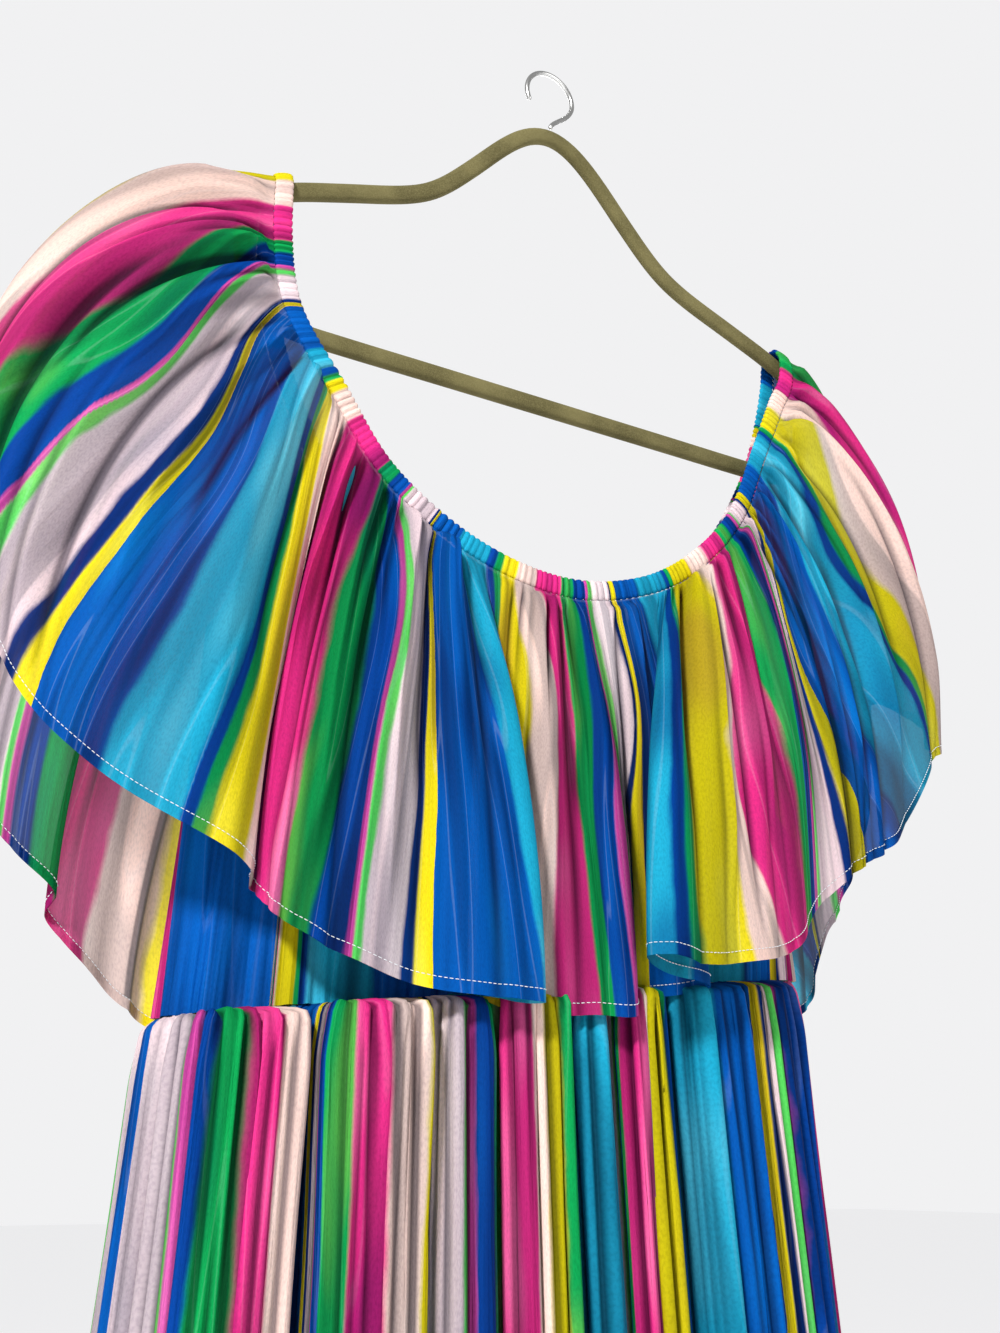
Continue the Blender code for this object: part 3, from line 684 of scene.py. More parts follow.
def smoothCopy(node, name, material, levels):
    # a CAD node's form with its faces merged, rounded and smooth
    bpy.ops.object.select_all(action="DESELECT")
    source = bpy.data.objects[node]
    piece = source.copy()
    piece.data = source.data.copy()
    piece.name = name
    bpy.context.scene.collection.objects.link(piece)
    bpy.context.view_layer.objects.active = piece
    piece.select_set(True)
    bpy.ops.object.mode_set(mode="EDIT")
    bpy.ops.mesh.select_all(action="SELECT")
    bpy.ops.mesh.remove_doubles(threshold=0.00002)
    bpy.ops.mesh.tris_convert_to_quads(face_threshold=math.radians(50), shape_threshold=math.radians(60))
    bpy.ops.object.mode_set(mode="OBJECT")
    rounding = piece.modifiers.new("rounding", "SUBSURF")
    rounding.levels = levels
    rounding.render_levels = levels
    bpy.ops.object.modifier_apply(modifier=rounding.name)
    bpy.ops.object.shade_smooth()
    piece.data.materials.clear()
    piece.data.materials.append(material)
    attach(piece, "root")
    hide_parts(node)
    return piece


hangerFrame = smoothCopy("hanger_frame", "flockedHangerFrame", hangerFlock, 2)
hangerHook = smoothCopy("hanger_hook", "hangerHookWire", hookSteel, 2)
print("hanger made")


casing = {
    "width": 0.012,
    "thickness": 0.0034,
    "pleats": 164,
    "pleatHeight": 0.0015,
    "pleatDrift": 2.6,
    "ragged": 0.0011,
    "clothRound": 0.028,
    "stitch": (0.0042, 0.0026, 0.0003),
    "columns": 1500,
    "around": 18,
}


def makeCasing(side, rows, place):
    # the gathered band: a flat tube with pleats across it, and its row of stitches
    share = np.linspace(0, 1, casing["columns"])
    edge, across = neckLine(rows, share)
    centre = edge + across * casing["width"] / 2
    along = unit(np.gradient(centre, axis=0))
    out = unit(np.cross(along, across)) * (1 if side == "front" else -1)
    pleat = ripple(share, casing["pleats"], casing["pleatDrift"]) / 2 + 0.5
    turns = np.linspace(0, 2 * math.pi, casing["around"] + 1)
    tube = []
    for turn in turns:
        wide = math.cos(turn) * casing["width"] / 2
        facing = 1 if math.sin(turn) > 0 else -1
        deep = facing * abs(math.sin(turn)) ** 0.6 * casing["thickness"] / 2
        lift = facing * abs(math.sin(turn)) ** 0.5 * (pleat - 0.5) * casing["pleatHeight"]
        ragged = math.cos(turn) * (pleat - 0.6) * casing["ragged"]
        tube.append(centre + across * (wide + ragged)[:, None] + out * (deep + lift)[:, None])
    tube = np.array(tube)
    if side == "back":
        tube = tube[::-1]
    around = np.linspace(0, casing["clothRound"], len(turns))
    name = "neckCasing" + side.capitalize()
    # the pleat valleys get painted shade through the hollow attribute
    piece = clothMesh(name, tube, stripePlace(place, share, [0.0]), around, casingCloth,
                      np.clip(1 - pleat * 2.2, 0, 1))
    lower = centre + across * casing["width"] * 0.32
    lower = lower + out * (casing["thickness"] / 2 + (pleat - 0.4) * casing["pleatHeight"])[:, None]
    stitches = threadPiece(name + "Stitches", [stitchRow(lower, out, *casing["stitch"])], stitchThread)
    for thing in (piece, stitches):
        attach(thing, "root")
    node = "neckline_casing_" + side
    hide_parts(node)


# the flounce at its hem, a row for each fold's crest and hollow:
# share of the neckline, x, y, length of cloth from casing to hem, spring off the casing
flounce = {
    "front": [
        (0.000, -0.340, 0.055, 0.300, 2.2),
        (0.045, -0.362, 0.020, 0.300, 2.2),
        (0.090, -0.350, -0.012, 0.300, 2.2),
        (0.137, -0.327, -0.035, 0.305, 2.0),
        (0.178, -0.294, -0.050, 0.300, 1.8),
        (0.218, -0.228, -0.067, 0.296, 1.7),
        (0.228, -0.218, -0.060, 0.292, 1.7),
        (0.243, -0.212, -0.047, 0.286, 1.7),
        (0.264, -0.206, -0.055, 0.282, 1.7),
        (0.295, -0.205, -0.072, 0.281, 1.7),
        (0.335, -0.169, -0.083, 0.278, 1.7),
        (0.368, -0.138, -0.096, 0.276, 1.7),
        (0.390, -0.100, -0.110, 0.273, 1.7),
        (0.399, -0.085, -0.108, 0.270, 1.7),
        (0.408, -0.088, -0.098, 0.264, 1.7),
        (0.420, -0.102, -0.092, 0.259, 1.7),
        (0.431, -0.107, -0.085, 0.256, 1.7),
        (0.442, -0.096, -0.081, 0.255, 1.7),
        (0.458, -0.076, -0.086, 0.256, 1.7),
        (0.484, -0.044, -0.097, 0.254, 1.7),
        (0.500, -0.027, -0.103, 0.256, 1.7),
        (0.509, -0.020, -0.095, 0.250, 1.7),
        (0.522, -0.018, -0.084, 0.244, 1.7),
        (0.545, 0.002, -0.079, 0.244, 1.7),
        (0.565, 0.028, -0.084, 0.245, 1.7),
        (0.574, 0.033, -0.092, 0.247, 1.7),
        (0.583, 0.018, -0.100, 0.252, 1.7),
        (0.592, -0.010, -0.107, 0.262, 1.7),
        (0.600, -0.028, -0.117, 0.272, 1.7),
        (0.610, -0.020, -0.126, 0.277, 1.7),
        (0.628, 0.005, -0.122, 0.279, 1.7),
        (0.655, 0.033, -0.114, 0.281, 1.7),
        (0.705, 0.091, -0.103, 0.281, 1.8),
        (0.728, 0.122, -0.083, 0.264, 1.9),
        (0.752, 0.141, -0.088, 0.263, 2.1),
        (0.800, 0.160, -0.088, 0.281, 2.3),
        (0.840, 0.197, -0.076, 0.287, 2.5),
        (0.880, 0.258, -0.055, 0.271, 2.7),
        (0.925, 0.290, -0.030, 0.285, 2.9),
        (0.965, 0.305, 0.000, 0.285, 3.0),
        (1.000, 0.300, 0.032, 0.285, 3.0),
    ],
    "back": [
        (0.000, -0.340, 0.055, 0.300, 2.2),
        (0.060, -0.330, 0.078, 0.322, 2.1),
        (0.120, -0.301, 0.080, 0.345, 2.0),
        (0.150, -0.268, 0.086, 0.340, 1.9),
        (0.172, -0.266, 0.098, 0.340, 1.8),
        (0.215, -0.240, 0.104, 0.332, 1.7),
        (0.265, -0.206, 0.102, 0.324, 1.7),
        (0.305, -0.178, 0.086, 0.303, 1.7),
        (0.345, -0.146, 0.112, 0.286, 1.7),
        (0.385, -0.112, 0.090, 0.270, 1.7),
        (0.425, -0.078, 0.118, 0.262, 1.7),
        (0.465, -0.048, 0.092, 0.250, 1.7),
        (0.505, -0.016, 0.120, 0.252, 1.7),
        (0.545, 0.018, 0.092, 0.248, 1.7),
        (0.585, 0.050, 0.118, 0.258, 1.7),
        (0.625, 0.088, 0.092, 0.264, 1.7),
        (0.665, 0.122, 0.114, 0.280, 1.8),
        (0.705, 0.164, 0.092, 0.296, 1.9),
        (0.745, 0.204, 0.110, 0.324, 2.0),
        (0.785, 0.241, 0.088, 0.350, 2.1),
        (0.830, 0.274, 0.092, 0.372, 2.3),
        (0.875, 0.272, 0.066, 0.348, 2.5),
        (0.920, 0.302, 0.066, 0.350, 2.7),
        (0.960, 0.304, 0.046, 0.320, 2.9),
        (1.000, 0.300, 0.032, 0.285, 3.0),
    ],
    "columns": {"front": 1120, "back": 900},
    "rows": 72,
    "seat": 0.0008,
    "hemDepth": 0.006,
    "clothDepth": 0.28,
    "creaseShadeReach": 4,
    "creaseShadeDepth": 0.0024,
    "stitch": (0.0027, 0.0022, 0.00042),
}

# gathers and folds of the flounce: waves round the neckline, drift of their spacing, height,
# and how far down the cloth they begin, are full and end
flounceWaves = [
    (24, 2.2, 0.0068, 0.00, 0.045, 0.60),
    (43, 2.6, 0.0030, 0.00, 0.03, 0.32),
    (84, 2.4, 0.0012, -0.01, 0.01, 0.16),
    (19, 1.7, 0.0062, 0.08, 0.45, 1.70),
    (31, 1.5, 0.0022, 0.20, 0.60, 1.80),
]

# main creases of the flounce, + for a ridge and - for a trough:
# share at the top, share at the bottom, where it starts and ends down the cloth, width, height
flounceCreases = {
    "front": [
        (0.030, 0.024, 0.00, 0.80, 0.008, 0.0040),
        (0.058, 0.062, 0.05, 1.00, 0.007, -0.0035),
        (0.082, 0.088, 0.00, 0.90, 0.009, 0.0042),
        (0.104, 0.101, 0.00, 0.70, 0.006, -0.0040),
        (0.124, 0.130, 0.00, 1.00, 0.008, 0.0045),
        (0.149, 0.145, 0.10, 1.00, 0.006, -0.0036),
        (0.168, 0.174, 0.00, 0.85, 0.009, 0.0046),
        (0.188, 0.186, 0.00, 0.60, 0.005, -0.0042),
        (0.201, 0.206, 0.00, 0.95, 0.007, 0.0040),
        (0.221, 0.214, 0.05, 0.75, 0.006, -0.0040),
        (0.240, 0.246, 0.00, 0.80, 0.007, 0.0034),
        (0.262, 0.272, 0.00, 0.62, 0.004, 0.0040),
        (0.281, 0.276, 0.02, 0.90, 0.006, -0.0038),
        (0.300, 0.312, 0.00, 0.90, 0.007, 0.0042),
        (0.322, 0.326, 0.00, 0.60, 0.005, -0.0040),
        (0.342, 0.348, 0.00, 1.00, 0.007, 0.0042),
        (0.361, 0.360, 0.03, 0.70, 0.005, -0.0044),
        (0.377, 0.380, 0.00, 0.55, 0.006, 0.0040),
        (0.392, 0.390, 0.00, 0.45, 0.004, -0.0030),
        (0.441, 0.446, 0.00, 0.60, 0.004, -0.0032),
        (0.462, 0.468, 0.00, 0.90, 0.006, 0.0036),
        (0.478, 0.482, 0.00, 0.70, 0.004, -0.0034),
        (0.497, 0.492, 0.00, 0.55, 0.005, 0.0036),
        (0.534, 0.538, 0.00, 0.75, 0.005, -0.0036),
        (0.552, 0.556, 0.00, 0.60, 0.005, 0.0034),
        (0.622, 0.632, 0.00, 0.75, 0.006, -0.0036),
        (0.648, 0.651, 0.00, 0.95, 0.005, 0.0040),
        (0.665, 0.672, 0.03, 1.00, 0.005, -0.0034),
        (0.684, 0.690, 0.00, 0.80, 0.006, 0.0040),
        (0.708, 0.712, 0.00, 0.75, 0.006, -0.0042),
        (0.738, 0.744, 0.00, 0.90, 0.007, 0.0044),
        (0.762, 0.768, 0.00, 0.80, 0.006, -0.0040),
        (0.788, 0.797, 0.00, 0.95, 0.008, 0.0044),
        (0.816, 0.822, 0.00, 0.70, 0.006, -0.0040),
        (0.842, 0.850, 0.00, 0.95, 0.008, 0.0040),
        (0.868, 0.866, 0.05, 0.80, 0.006, -0.0036),
        (0.893, 0.900, 0.00, 1.00, 0.008, 0.0040),
        (0.920, 0.916, 0.00, 0.75, 0.006, -0.0036),
        (0.948, 0.950, 0.05, 0.95, 0.008, 0.0036),
        (0.975, 0.972, 0.00, 0.70, 0.006, -0.0030),
    ],
    "back": [
        (0.035, 0.040, 0.00, 0.80, 0.008, 0.0040),
        (0.085, 0.080, 0.05, 0.95, 0.007, -0.0036),
        (0.130, 0.138, 0.00, 0.70, 0.008, 0.0040),
        (0.185, 0.190, 0.00, 0.90, 0.007, -0.0036),
        (0.236, 0.230, 0.00, 0.80, 0.007, 0.0040),
        (0.284, 0.290, 0.00, 0.65, 0.005, -0.0036),
        (0.330, 0.326, 0.00, 0.95, 0.007, 0.0040),
        (0.372, 0.380, 0.05, 0.70, 0.005, -0.0036),
        (0.418, 0.412, 0.00, 0.85, 0.007, 0.0040),
        (0.470, 0.476, 0.00, 0.75, 0.006, -0.0036),
        (0.521, 0.515, 0.00, 0.95, 0.006, 0.0040),
        (0.568, 0.575, 0.00, 0.60, 0.005, -0.0036),
        (0.611, 0.605, 0.05, 0.80, 0.007, 0.0040),
        (0.662, 0.668, 0.00, 0.90, 0.006, -0.0036),
        (0.713, 0.706, 0.00, 0.75, 0.007, 0.0040),
        (0.768, 0.776, 0.00, 0.95, 0.007, -0.0036),
        (0.822, 0.815, 0.00, 0.70, 0.008, 0.0040),
        (0.881, 0.889, 0.05, 0.90, 0.007, -0.0036),
        (0.940, 0.934, 0.00, 0.85, 0.008, 0.0040),
    ],
}

# the S folds where layers of cloth lie close: share, half width; waves stay low there
closeFolds = [(0.235, 0.020), (0.414, 0.030), (0.512, 0.020), (0.587, 0.030)]


def flounceGrid(side, share):
    # the flounce from casing to hem at each share, keeping its length of cloth
    folds = flounce[side]
    edge, across = neckLine(neck[side], share)
    outward = -1 if side == "front" else 1
    seat = outward * flounce["seat"] * np.minimum(np.minimum(share, 1 - share), 0.1) / 0.1
    start = edge + across * (casing["width"] + seamGap)
    start[:, 1] += seat
    x, y, length, spring = [readTable(folds, share, c) for c in (1, 2, 3, 4)]
    reach = np.stack([x, y], axis=-1) - start[:, :2]
    v = np.linspace(0, 1, flounce["rows"])
    ease = 1 - (1 - v[:, None]) ** spring[None, :]
    sideways = np.linalg.norm(reach, axis=-1) * np.diff(ease, axis=0)
    drops = np.sqrt(np.maximum((length / (len(v) - 1)) ** 2 - sideways**2, 0))
    fall = np.concatenate([np.zeros((1, len(share))), np.cumsum(drops, axis=0)])
    flat = start[None, :, :2] + reach[None] * ease[:, :, None]
    grid = np.concatenate([flat, (start[None, :, 2] - fall)[:, :, None]], axis=-1)
    return grid, length


def makeFlounce():
    coarse = np.linspace(0, 1, 3000)
    shares = {}
    for side in ("front", "back"):
        path = np.stack([readTable(flounce[side], coarse, c) for c in (1, 2)], axis=-1)
        shares[side] = evenColumns(path, coarse, flounce["columns"][side])
    grids = {side: flounceGrid(side, shares[side]) for side in shares}
    ring = joinSides(grids["front"][0], grids["back"][0])
    normals = gridNormals(ring)
    down = np.linspace(0, 1, flounce["rows"])
    heights = {}
    for side, metres in (("front", 1.05), ("back", 1.0)):
        share = shares[side]
        height = waves(flounceWaves, share, down)
        calm = np.ones(len(share))
        if side == "front":
            for spot, half in closeFolds:
                calm = np.minimum(calm, 1 - 0.65 * np.exp(-((share - spot) / half) ** 2))
        height = height + creases(flounceCreases[side], share, down, metres)
        ends = smoothRise(share, 0.0, 0.02) * (1 - smoothRise(share, 0.98, 1.0))
        heights[side] = height * calm[None] * ends[None]
    height = joinSides(heights["front"], heights["back"])
    height *= smoothRise(down, -0.01, 0.03)[:, None] * 0.85 + 0.15
    # how deep each point lies in its crease, for painted crease shade
    hollow = creaseShadeMask(height, flounce["creaseShadeReach"], flounce["creaseShadeDepth"])
    ring = ring + normals * height[:, :, None]
    normals = gridNormals(ring)
    picks = sideColumns(len(shares["front"]), ring.shape[1])
    made = {}
    for side in ("front", "back"):
        picked = picks[side]
        share = shares[side] if side == "front" else shares["back"][::-1]
        length = grids[side][1] if side == "front" else grids[side][1][::-1]
        grid, out = ring[:, picked], normals[:, picked]
        place = stripePlace(stripes["flounce" + side.capitalize()], share, down)
        name = "flounce" + side.capitalize()
        depth = flounce["clothDepth"]
        piece = clothMesh(name, grid, place, down * depth, flounceCloth, hollow[:, picked])
        # the narrow hem, turned up inside and stitched
        hem = flounce["hemDepth"]
        steps = np.linspace(0, 1, 4)
        level = 1 - hem / length
        levels = [level + (1 - level) * step for step in steps]
        turned = np.array([rowAt(grid, row) - rowAt(out, row) * 0.0005 for row in levels])
        turnedUp = clothMesh(name + "Hem", turned, place[-1:], depth - hem * (1 - steps), flounceCloth)
        line = rowAt(grid, level) + rowAt(out, level) * 0.0001
        facing = rowAt(out, level)
        rows = [stitchRow(line, facing, *flounce["stitch"])]
        rows.append(stitchRow(line - facing * 0.0007, -facing, *flounce["stitch"]))
        stitches = threadPiece(name + "Stitches", rows, stitchThread)
        made[side] = (piece, turnedUp, stitches)
        for thing in made[side]:
            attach(thing, "root")
        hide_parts("flounce_" + side)
    for side, width, size in (("front", 1.28, 0.375), ("back", 1.16, 0.36)):
        piece, turnedUp, stitches = made[side]
        0.31 if side == "front" else 0.37
        "neckline_casing_" + side


def rowAt(grid, level):
    # a grid of rows read at a level, or at a level of its own for each column
    rows, columns = grid.shape[:2]
    spot = np.clip(np.broadcast_to(level, columns) * (rows - 1), 0, rows - 1)
    low = np.minimum(spot.astype(int), rows - 2)
    part = (spot - low)[:, None]
    number = np.arange(columns)
    return grid[low, number] * (1 - part) + grid[low + 1, number] * part


bodice = {
    "middleX": -0.0365,
    "halfWidth": 0.1985,
    "halfDepth": {"front": 0.062, "back": 0.052},
    "waistZ": -0.636,
    "waistSlope": 0.10,
    "underarmHalfWidth": 0.188,
    "underarmZ": -0.452,
    "armShare": 0.24,
    "neckShares": (0.24, 0.77),
    "seat": 0.0014,
    "gathers": 10,
    "gatherHeight": 0.002,
    "bulge": 0.006,
    "clothDepth": 0.27,
    "columns": 420,
    "rows": 48,
}

# gathers of the bodice, as on the flounce, by its own width
bodiceWaves = [
    (64, 2.0, 0.0006, -0.01, 0.00, 0.22),
    (34, 1.8, 0.0012, 0.10, 0.45, 0.95),
    (46, 1.6, 0.0013, 0.45, 1.00, 1.60),
    (92, 2.2, 0.0009, 0.80, 1.00, 1.30),
]


def waistPoint(angle, side):
    depth = bodice["halfDepth"][side] * (1 if side == "back" else -1)
    x = bodice["middleX"] - bodice["halfWidth"] * np.cos(angle)
    z = bodice["waistZ"] + bodice["waistSlope"] * (x - bodice["middleX"])
    return np.stack([x, depth * np.maximum(np.sin(angle), 0) ** 0.8, z], axis=-1)


def bodiceTop(side, turn):
    # top edge: underarm, up the armhole, along the casing, and down again
    inner = bodice["armShare"]
    inward = bodice["seat"] * (-1 if side == "back" else 1)
    share = np.interp(turn, (inner, 1 - inner), bodice["neckShares"])
    edge, across = neckLine(neck[side], share)
    point = edge + across * (casing["width"] + seamGap) + np.array([0, inward, -0.0005])
    half = np.where(turn < 0.5, -bodice["underarmHalfWidth"], bodice["underarmHalfWidth"])
    underarm = np.stack([bodice["middleX"] + half, np.zeros_like(half),
                         np.full_like(half, bodice["underarmZ"])], axis=-1)
    w = np.clip(np.where(turn < 0.5, turn, 1 - turn) / inner, 0, 1)
    climb = np.stack([w**1.25, np.sin(w * math.pi / 2), w**1.5], axis=-1)
    return underarm + (point - underarm) * climb


def makeBodice():
    turn = np.linspace(0, 1, bodice["columns"])
    v = np.linspace(0, 1, bodice["rows"])
    grids = {}
    for side in ("front", "back"):
        top = bodiceTop(side, turn)
        low = waistPoint(turn * math.pi, side) + np.array([0, 0, seamGap / 2])
        ways = np.stack([v, v**0.8, v], axis=-1)
        grid = top[None] + (low - top)[None] * ways[:, None]
        swell = bodice["bulge"] * (np.sin(v * math.pi) - np.sin(v**0.6 * math.pi))
        bulge = np.outer(swell, np.sin(turn * math.pi))
        grid[:, :, 1] += bulge if side == "back" else -bulge
        grids[side] = grid
    ring = joinSides(grids["front"], grids["back"])
    turns = np.concatenate([turn, turn[-2:0:-1]])
    height = np.outer(bodice["gatherHeight"] * v**2, np.sin(2 * math.pi * bodice["gathers"] * turns))
    ends = smoothRise(turns, 0.0, 0.03) * (1 - smoothRise(turns, 0.97, 1.0))
    height = height + waves(bodiceWaves, turns, v) * ends[None]
    ring = ring + gridNormals(ring) * height[:, :, None]
    picks = sideColumns(len(turn), ring.shape[1])
    for side in ("front", "back"):
        picked = picks[side]
        share = turn if side == "front" else turn[::-1]
        place = stripePlace(stripes["bodice" + side.capitalize()], share, v)
        name = "bodice" + side.capitalize()
        piece = clothMesh(name, ring[:, picked], place, v * bodice["clothDepth"], bodiceCloth)
        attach(piece, "root")
        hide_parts("bodice_" + side)
        "neckline_casing_" + side


# skirt folds just under the waist, left to right:
# x of the middle, half width, y of the crest, y of the hollow after
skirt = {
    "cutWidth": {"front": 1.50, "back": 1.35},
    "front": [
        (-0.2130, 0.0270, -0.078, -0.045),
        (-0.1560, 0.0260, -0.092, -0.056),
        (-0.1130, 0.0130, -0.090, -0.058),
        (-0.0750, 0.0200, -0.094, -0.060),
        (-0.0390, 0.0110, -0.088, -0.056),
        (-0.0080, 0.0140, -0.090, -0.060),
        (0.0400, 0.0230, -0.089, -0.054),
        (0.0860, 0.0160, -0.077, -0.044),
        (0.1140, 0.0080, -0.060, -0.034),
        (0.1350, 0.0100, -0.038, -0.018),
    ],
    "back": [
        (-0.2110, 0.0210, 0.038, 0.024),
        (-0.1640, 0.0200, 0.066, 0.038),
        (-0.1190, 0.0190, 0.082, 0.050),
        (-0.0740, 0.0200, 0.080, 0.048),
        (-0.0270, 0.0190, 0.084, 0.050),
        (0.0190, 0.0210, 0.080, 0.048),
        (0.0660, 0.0190, 0.076, 0.044),
        (0.1060, 0.0150, 0.058, 0.032),
        (0.1350, 0.0100, 0.034, 0.018),
    ],
    "narrowFold": 0.0135,
    "narrowProfile": [(-0.88, 0.42), (-0.50, 0.04), (0.00, 0.00), (0.50, 0.05), (0.88, 0.42)],
    "wideProfile": [
        (-0.90, 0.42),
        (-0.66, 0.06),
        (-0.34, 0.00),
        (-0.14, 0.12),
        (0.08, 0.00),
        (0.36, 0.10),
        (0.64, 0.03),
        (0.90, 0.42),
    ],
    "sideProfile": [(0.22, 0.0030), (0.44, -0.0040), (0.70, 0.0030)],
    "sideEase": 0.003,
    "length": 0.80,
    "spreadX": 1.30,
    "spreadY": 1.55,
    "columns": 860,
    "rows": 90,
    "rowSpread": 1.6,
    "foldShare": 0.008,
    "hemDepth": 0.008,
    "creaseShadeReach": 3,
    "creaseShadeDepth": 0.0018,
    "stitch": (0.0028, 0.0023, 0.00045),
}

# small pleats of the skirt, by its run just under the waist
skirtWaves = [
    (58, 2.2, 0.0028, -0.01, 0.01, 0.16),
    (116, 2.6, 0.0022, -0.01, 0.01, 0.80),
    (78, 2.8, 0.0036, 0.00, 0.04, 1.50),
    (41, 2.2, 0.0026, 0.02, 0.20, 2.00),
    (21, 1.6, 0.0036, 0.20, 0.90, 2.40),
]


def skirtPlan(side):
    # the skirt's plan, left to right, as x, y and whether it is a hollow between two folds
    points = []
    lobes = skirt[side]
    for k, (x, half, crest, hollow) in enumerate(lobes):
        profile = skirt["wideProfile"] if half > skirt["narrowFold"] else skirt["narrowProfile"]
        for offset, sunk in profile:
            points.append((x + half * offset, crest + (hollow - crest) * sunk, False))
        if k < len(lobes) - 1:
            after = lobes[k + 1]
            points.append(((x + half + after[0] - after[1]) / 2, hollow, True))
    left = bodice["middleX"] - bodice["halfWidth"] - skirt["sideEase"]
    right = bodice["middleX"] + bodice["halfWidth"] - skirt["sideEase"]
    first = points[0]
    last = points[-1]
    before = [(left, 0.0, False)]
    after = [(right, 0.0, False)]
    for along, out in skirt["sideProfile"]:
        before.append((left + (first[0] - left) * along - out, first[1] * along, False))
        after.insert(0, (right + (last[0] - right) * along + out, last[1] * along, False))
    return before + points + after


def skirtGrid(side):
    plan = skirtPlan(side)
    run = np.concatenate([[0], np.cumsum([math.dist(a[:2], b[:2]) for a, b in zip(plan, plan[1:])])])
    anchors = [k for k, p in enumerate(plan) if k in (0, len(plan) - 1) or p[2]]
    depth = bodice["halfDepth"][side]
    angles = []
    for k in anchors:
        level = (bodice["middleX"] - plan[k][0]) / bodice["halfWidth"]
        angles.append(math.atan2(abs(plan[k][1]) / depth, level))
    spot = np.linspace(0, run[-1], skirt["columns"])
    table = [(r, p[0], p[1]) for r, p in zip(run, plan)]
    x = readTable(table, spot, 1)
    y = readTable(table, spot, 2)
    top = waistPoint(np.interp(spot, run[anchors], angles), side)
    v = np.linspace(0, 1, skirt["rows"]) ** skirt["rowSpread"]
    fold = np.sin(np.minimum(v / skirt["foldShare"], 1) * math.pi / 2) ** 0.8
    px = x[None] * fold[:, None] + top[None, :, 0] * (1 - fold)[:, None]
    py = y[None] * fold[:, None] + top[None, :, 1] * (1 - fold)[:, None]
    drop = np.outer(v, skirt["length"] - (bodice["waistZ"] - top[:, 2]))
    px = bodice["middleX"] + (px - bodice["middleX"]) * (1 + (skirt["spreadX"] - 1) * v)[:, None]
    py = py * (1 + (skirt["spreadY"] - 1) * v)[:, None]
    pz = top[None, :, 2] - seamGap / 2 - drop
    return np.stack([px, py, pz], axis=-1), v


def makeSkirt():
    grids = {}
    for side in ("front", "back"):
        grids[side], v = skirtGrid(side)
    ring = joinSides(grids["front"], grids["back"])
    share = np.linspace(0, 1, skirt["columns"])
    shares = np.concatenate([share, share[-2:0:-1]])
    ends = smoothRise(shares, 0.0, 0.015) * (1 - smoothRise(shares, 0.985, 1.0))
    height = waves(skirtWaves, shares, v) * ends[None]
    height *= smoothRise(v, -0.005, 0.012)[:, None] * 0.8 + 0.2
    # how deep each point lies in its crease, for painted crease shade
    hollow = creaseShadeMask(height, skirt["creaseShadeReach"], skirt["creaseShadeDepth"])
    ring = ring + gridNormals(ring) * height[:, :, None]
    normals = gridNormals(ring)
    picks = sideColumns(len(share), ring.shape[1])
    for side in ("front", "back"):
        picked = picks[side]
        run = share if side == "front" else share[::-1]
        place = stripePlace(stripes["skirt" + side.capitalize()], run, v)
        grid, out = ring[:, picked], normals[:, picked]
        name = "skirt" + side.capitalize()
        piece = clothMesh(name, grid, place, v * skirt["length"], skirtCloth, hollow[:, picked])
        hem = skirt["hemDepth"] / skirt["length"]
        levels = np.linspace(1 - hem, 1, 4) ** 0.8
        turned = np.array([rowAt(grid, level) - rowAt(out, level) * 0.0006 for level in levels])
        turnedUp = clothMesh(name + "Hem", turned, place[-1:], levels * skirt["length"], skirtCloth)
        line = rowAt(grid, levels[0])
        facing = rowAt(out, levels[0])
        rows = [stitchRow(line, facing, *skirt["stitch"])]
        stitches = threadPiece(name + "Stitches", rows, stitchThread)
        for thing in (piece, turnedUp, stitches):
            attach(thing, "root")
        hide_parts("skirt_" + side)


makeCasing("front", neck["front"], stripes["flounceFront"])
makeCasing("back", neck["back"], stripes["flounceBack"])
print("casings made")
makeFlounce()
print("flounces made")
makeBodice()
print("bodice made")
makeSkirt()
print("skirt made")

studio = {
    "floorZ": -1.80,
    "floorSize": 60.0,
    "floorShade": (244, 244, 245),
    "floorGlow": 0.54,
    "skyShade": (1.0, 1.0, 1.01),
    "backdrop": 0.88,
    "ambient": 0.38,
    "lamps": [
        ("keyLight", (-2.4, -1.9, 1.3), (0.0, 0.0, -0.55), 0.45, 175.0),
        ("fillLight", (1.0, -2.8, 0.1), (0.0, 0.0, -0.6), 1.6, 20.0),
        ("backLight", (1.0, 2.4, 0.9), (0.0, 0.0, -0.6), 1.6, 50.0),
    ],
}

view = {
    "place": (-0.48856, -0.71652, -0.72361),
    "pitch": 18.42,
    "yaw": 32.0,
    "focalPixels": 1500.0,
    "framePixels": 1000.0,
    "sensor": 36.0,
}


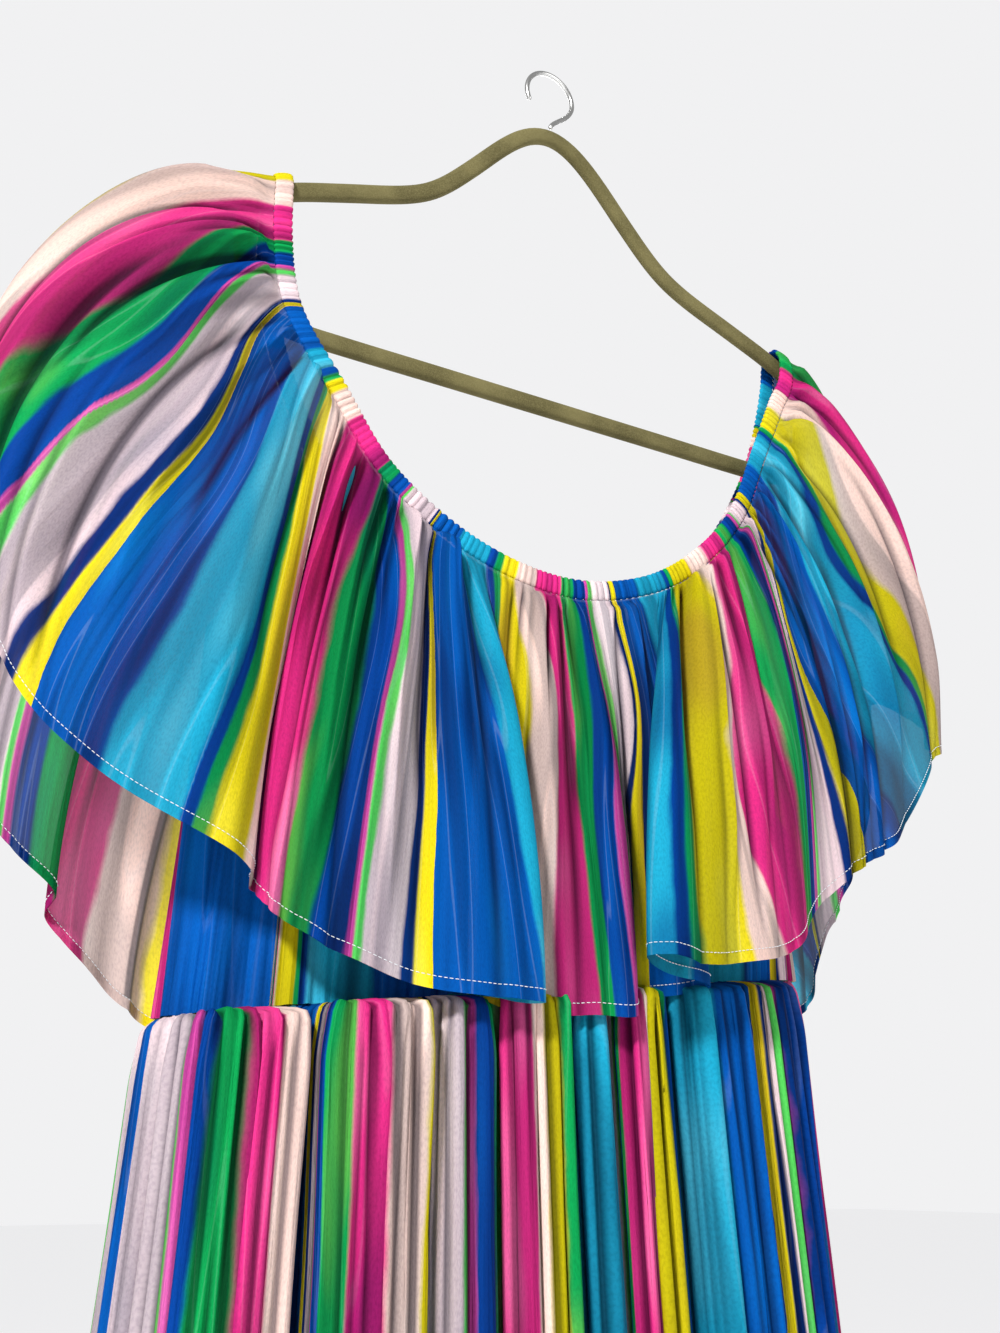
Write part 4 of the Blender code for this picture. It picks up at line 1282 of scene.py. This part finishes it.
def makeStudio():
    bpy.ops.object.select_all(action="DESELECT")
    bpy.ops.mesh.primitive_plane_add(size=studio["floorSize"], location=(0, 0, studio["floorZ"]))
    floor = bpy.context.object
    floor.name = "studioFloor"
    f = Finish("floorPaper")
    spot = f.node("ShaderNodeTexCoord", {}, {}, out=3)
    tone = f.noise(spot, 0.8, detail=2.0)
    floor.data.materials.append(f.surface({
        "Base Color": paint(studio["floorShade"]), "Roughness": 0.9 + tone * 0.05, "Specular IOR Level": 0.1,
        "Emission Color": paint(studio["floorShade"]), "Emission Strength": studio["floorGlow"]}))
    bpy.context.scene.view_settings.view_transform = "Standard"
    world = bpy.data.worlds.new("studioSky")
    world.use_nodes = True
    tree = world.node_tree
    tree.nodes.clear()
    seen = tree.nodes.new("ShaderNodeLightPath")
    pick = tree.nodes.new("ShaderNodeMixShader")
    result = tree.nodes.new("ShaderNodeOutputWorld")
    tree.links.new(seen.outputs["Is Camera Ray"], pick.inputs[0])
    for slot, strength in ((1, studio["ambient"]), (2, studio["backdrop"])):
        sky = tree.nodes.new("ShaderNodeBackground")
        sky.inputs["Color"].default_value = (*studio["skyShade"], 1.0)
        sky.inputs["Strength"].default_value = strength
        tree.links.new(sky.outputs[0], pick.inputs[slot])
    tree.links.new(pick.outputs[0], result.inputs["Surface"])
    bpy.context.scene.world = world
    for name, place, aim, size, power in studio["lamps"]:
        lamp = bpy.data.lights.new(name, "AREA")
        lamp.size = size
        lamp.energy = power
        holder = bpy.data.objects.new(name, lamp)
        holder.location = place
        holder.rotation_euler = (Vector(aim) - Vector(place)).to_track_quat("-Z", "Y").to_euler()
        bpy.context.scene.collection.objects.link(holder)


def makeCamera():
    lens = bpy.data.cameras.new("photoLens")
    lens.sensor_fit = "HORIZONTAL"
    lens.sensor_width = view["sensor"]
    lens.lens = view["focalPixels"] / view["framePixels"] * view["sensor"]
    lens.clip_start = 0.01
    holder = bpy.data.objects.new("photoCamera", lens)
    holder.location = view["place"]
    holder.rotation_euler = (math.radians(90 + view["pitch"]), 0.0, math.radians(-view["yaw"]))
    bpy.context.scene.collection.objects.link(holder)
    bpy.context.scene.camera = holder


makeStudio()
makeCamera()
print("studio made")
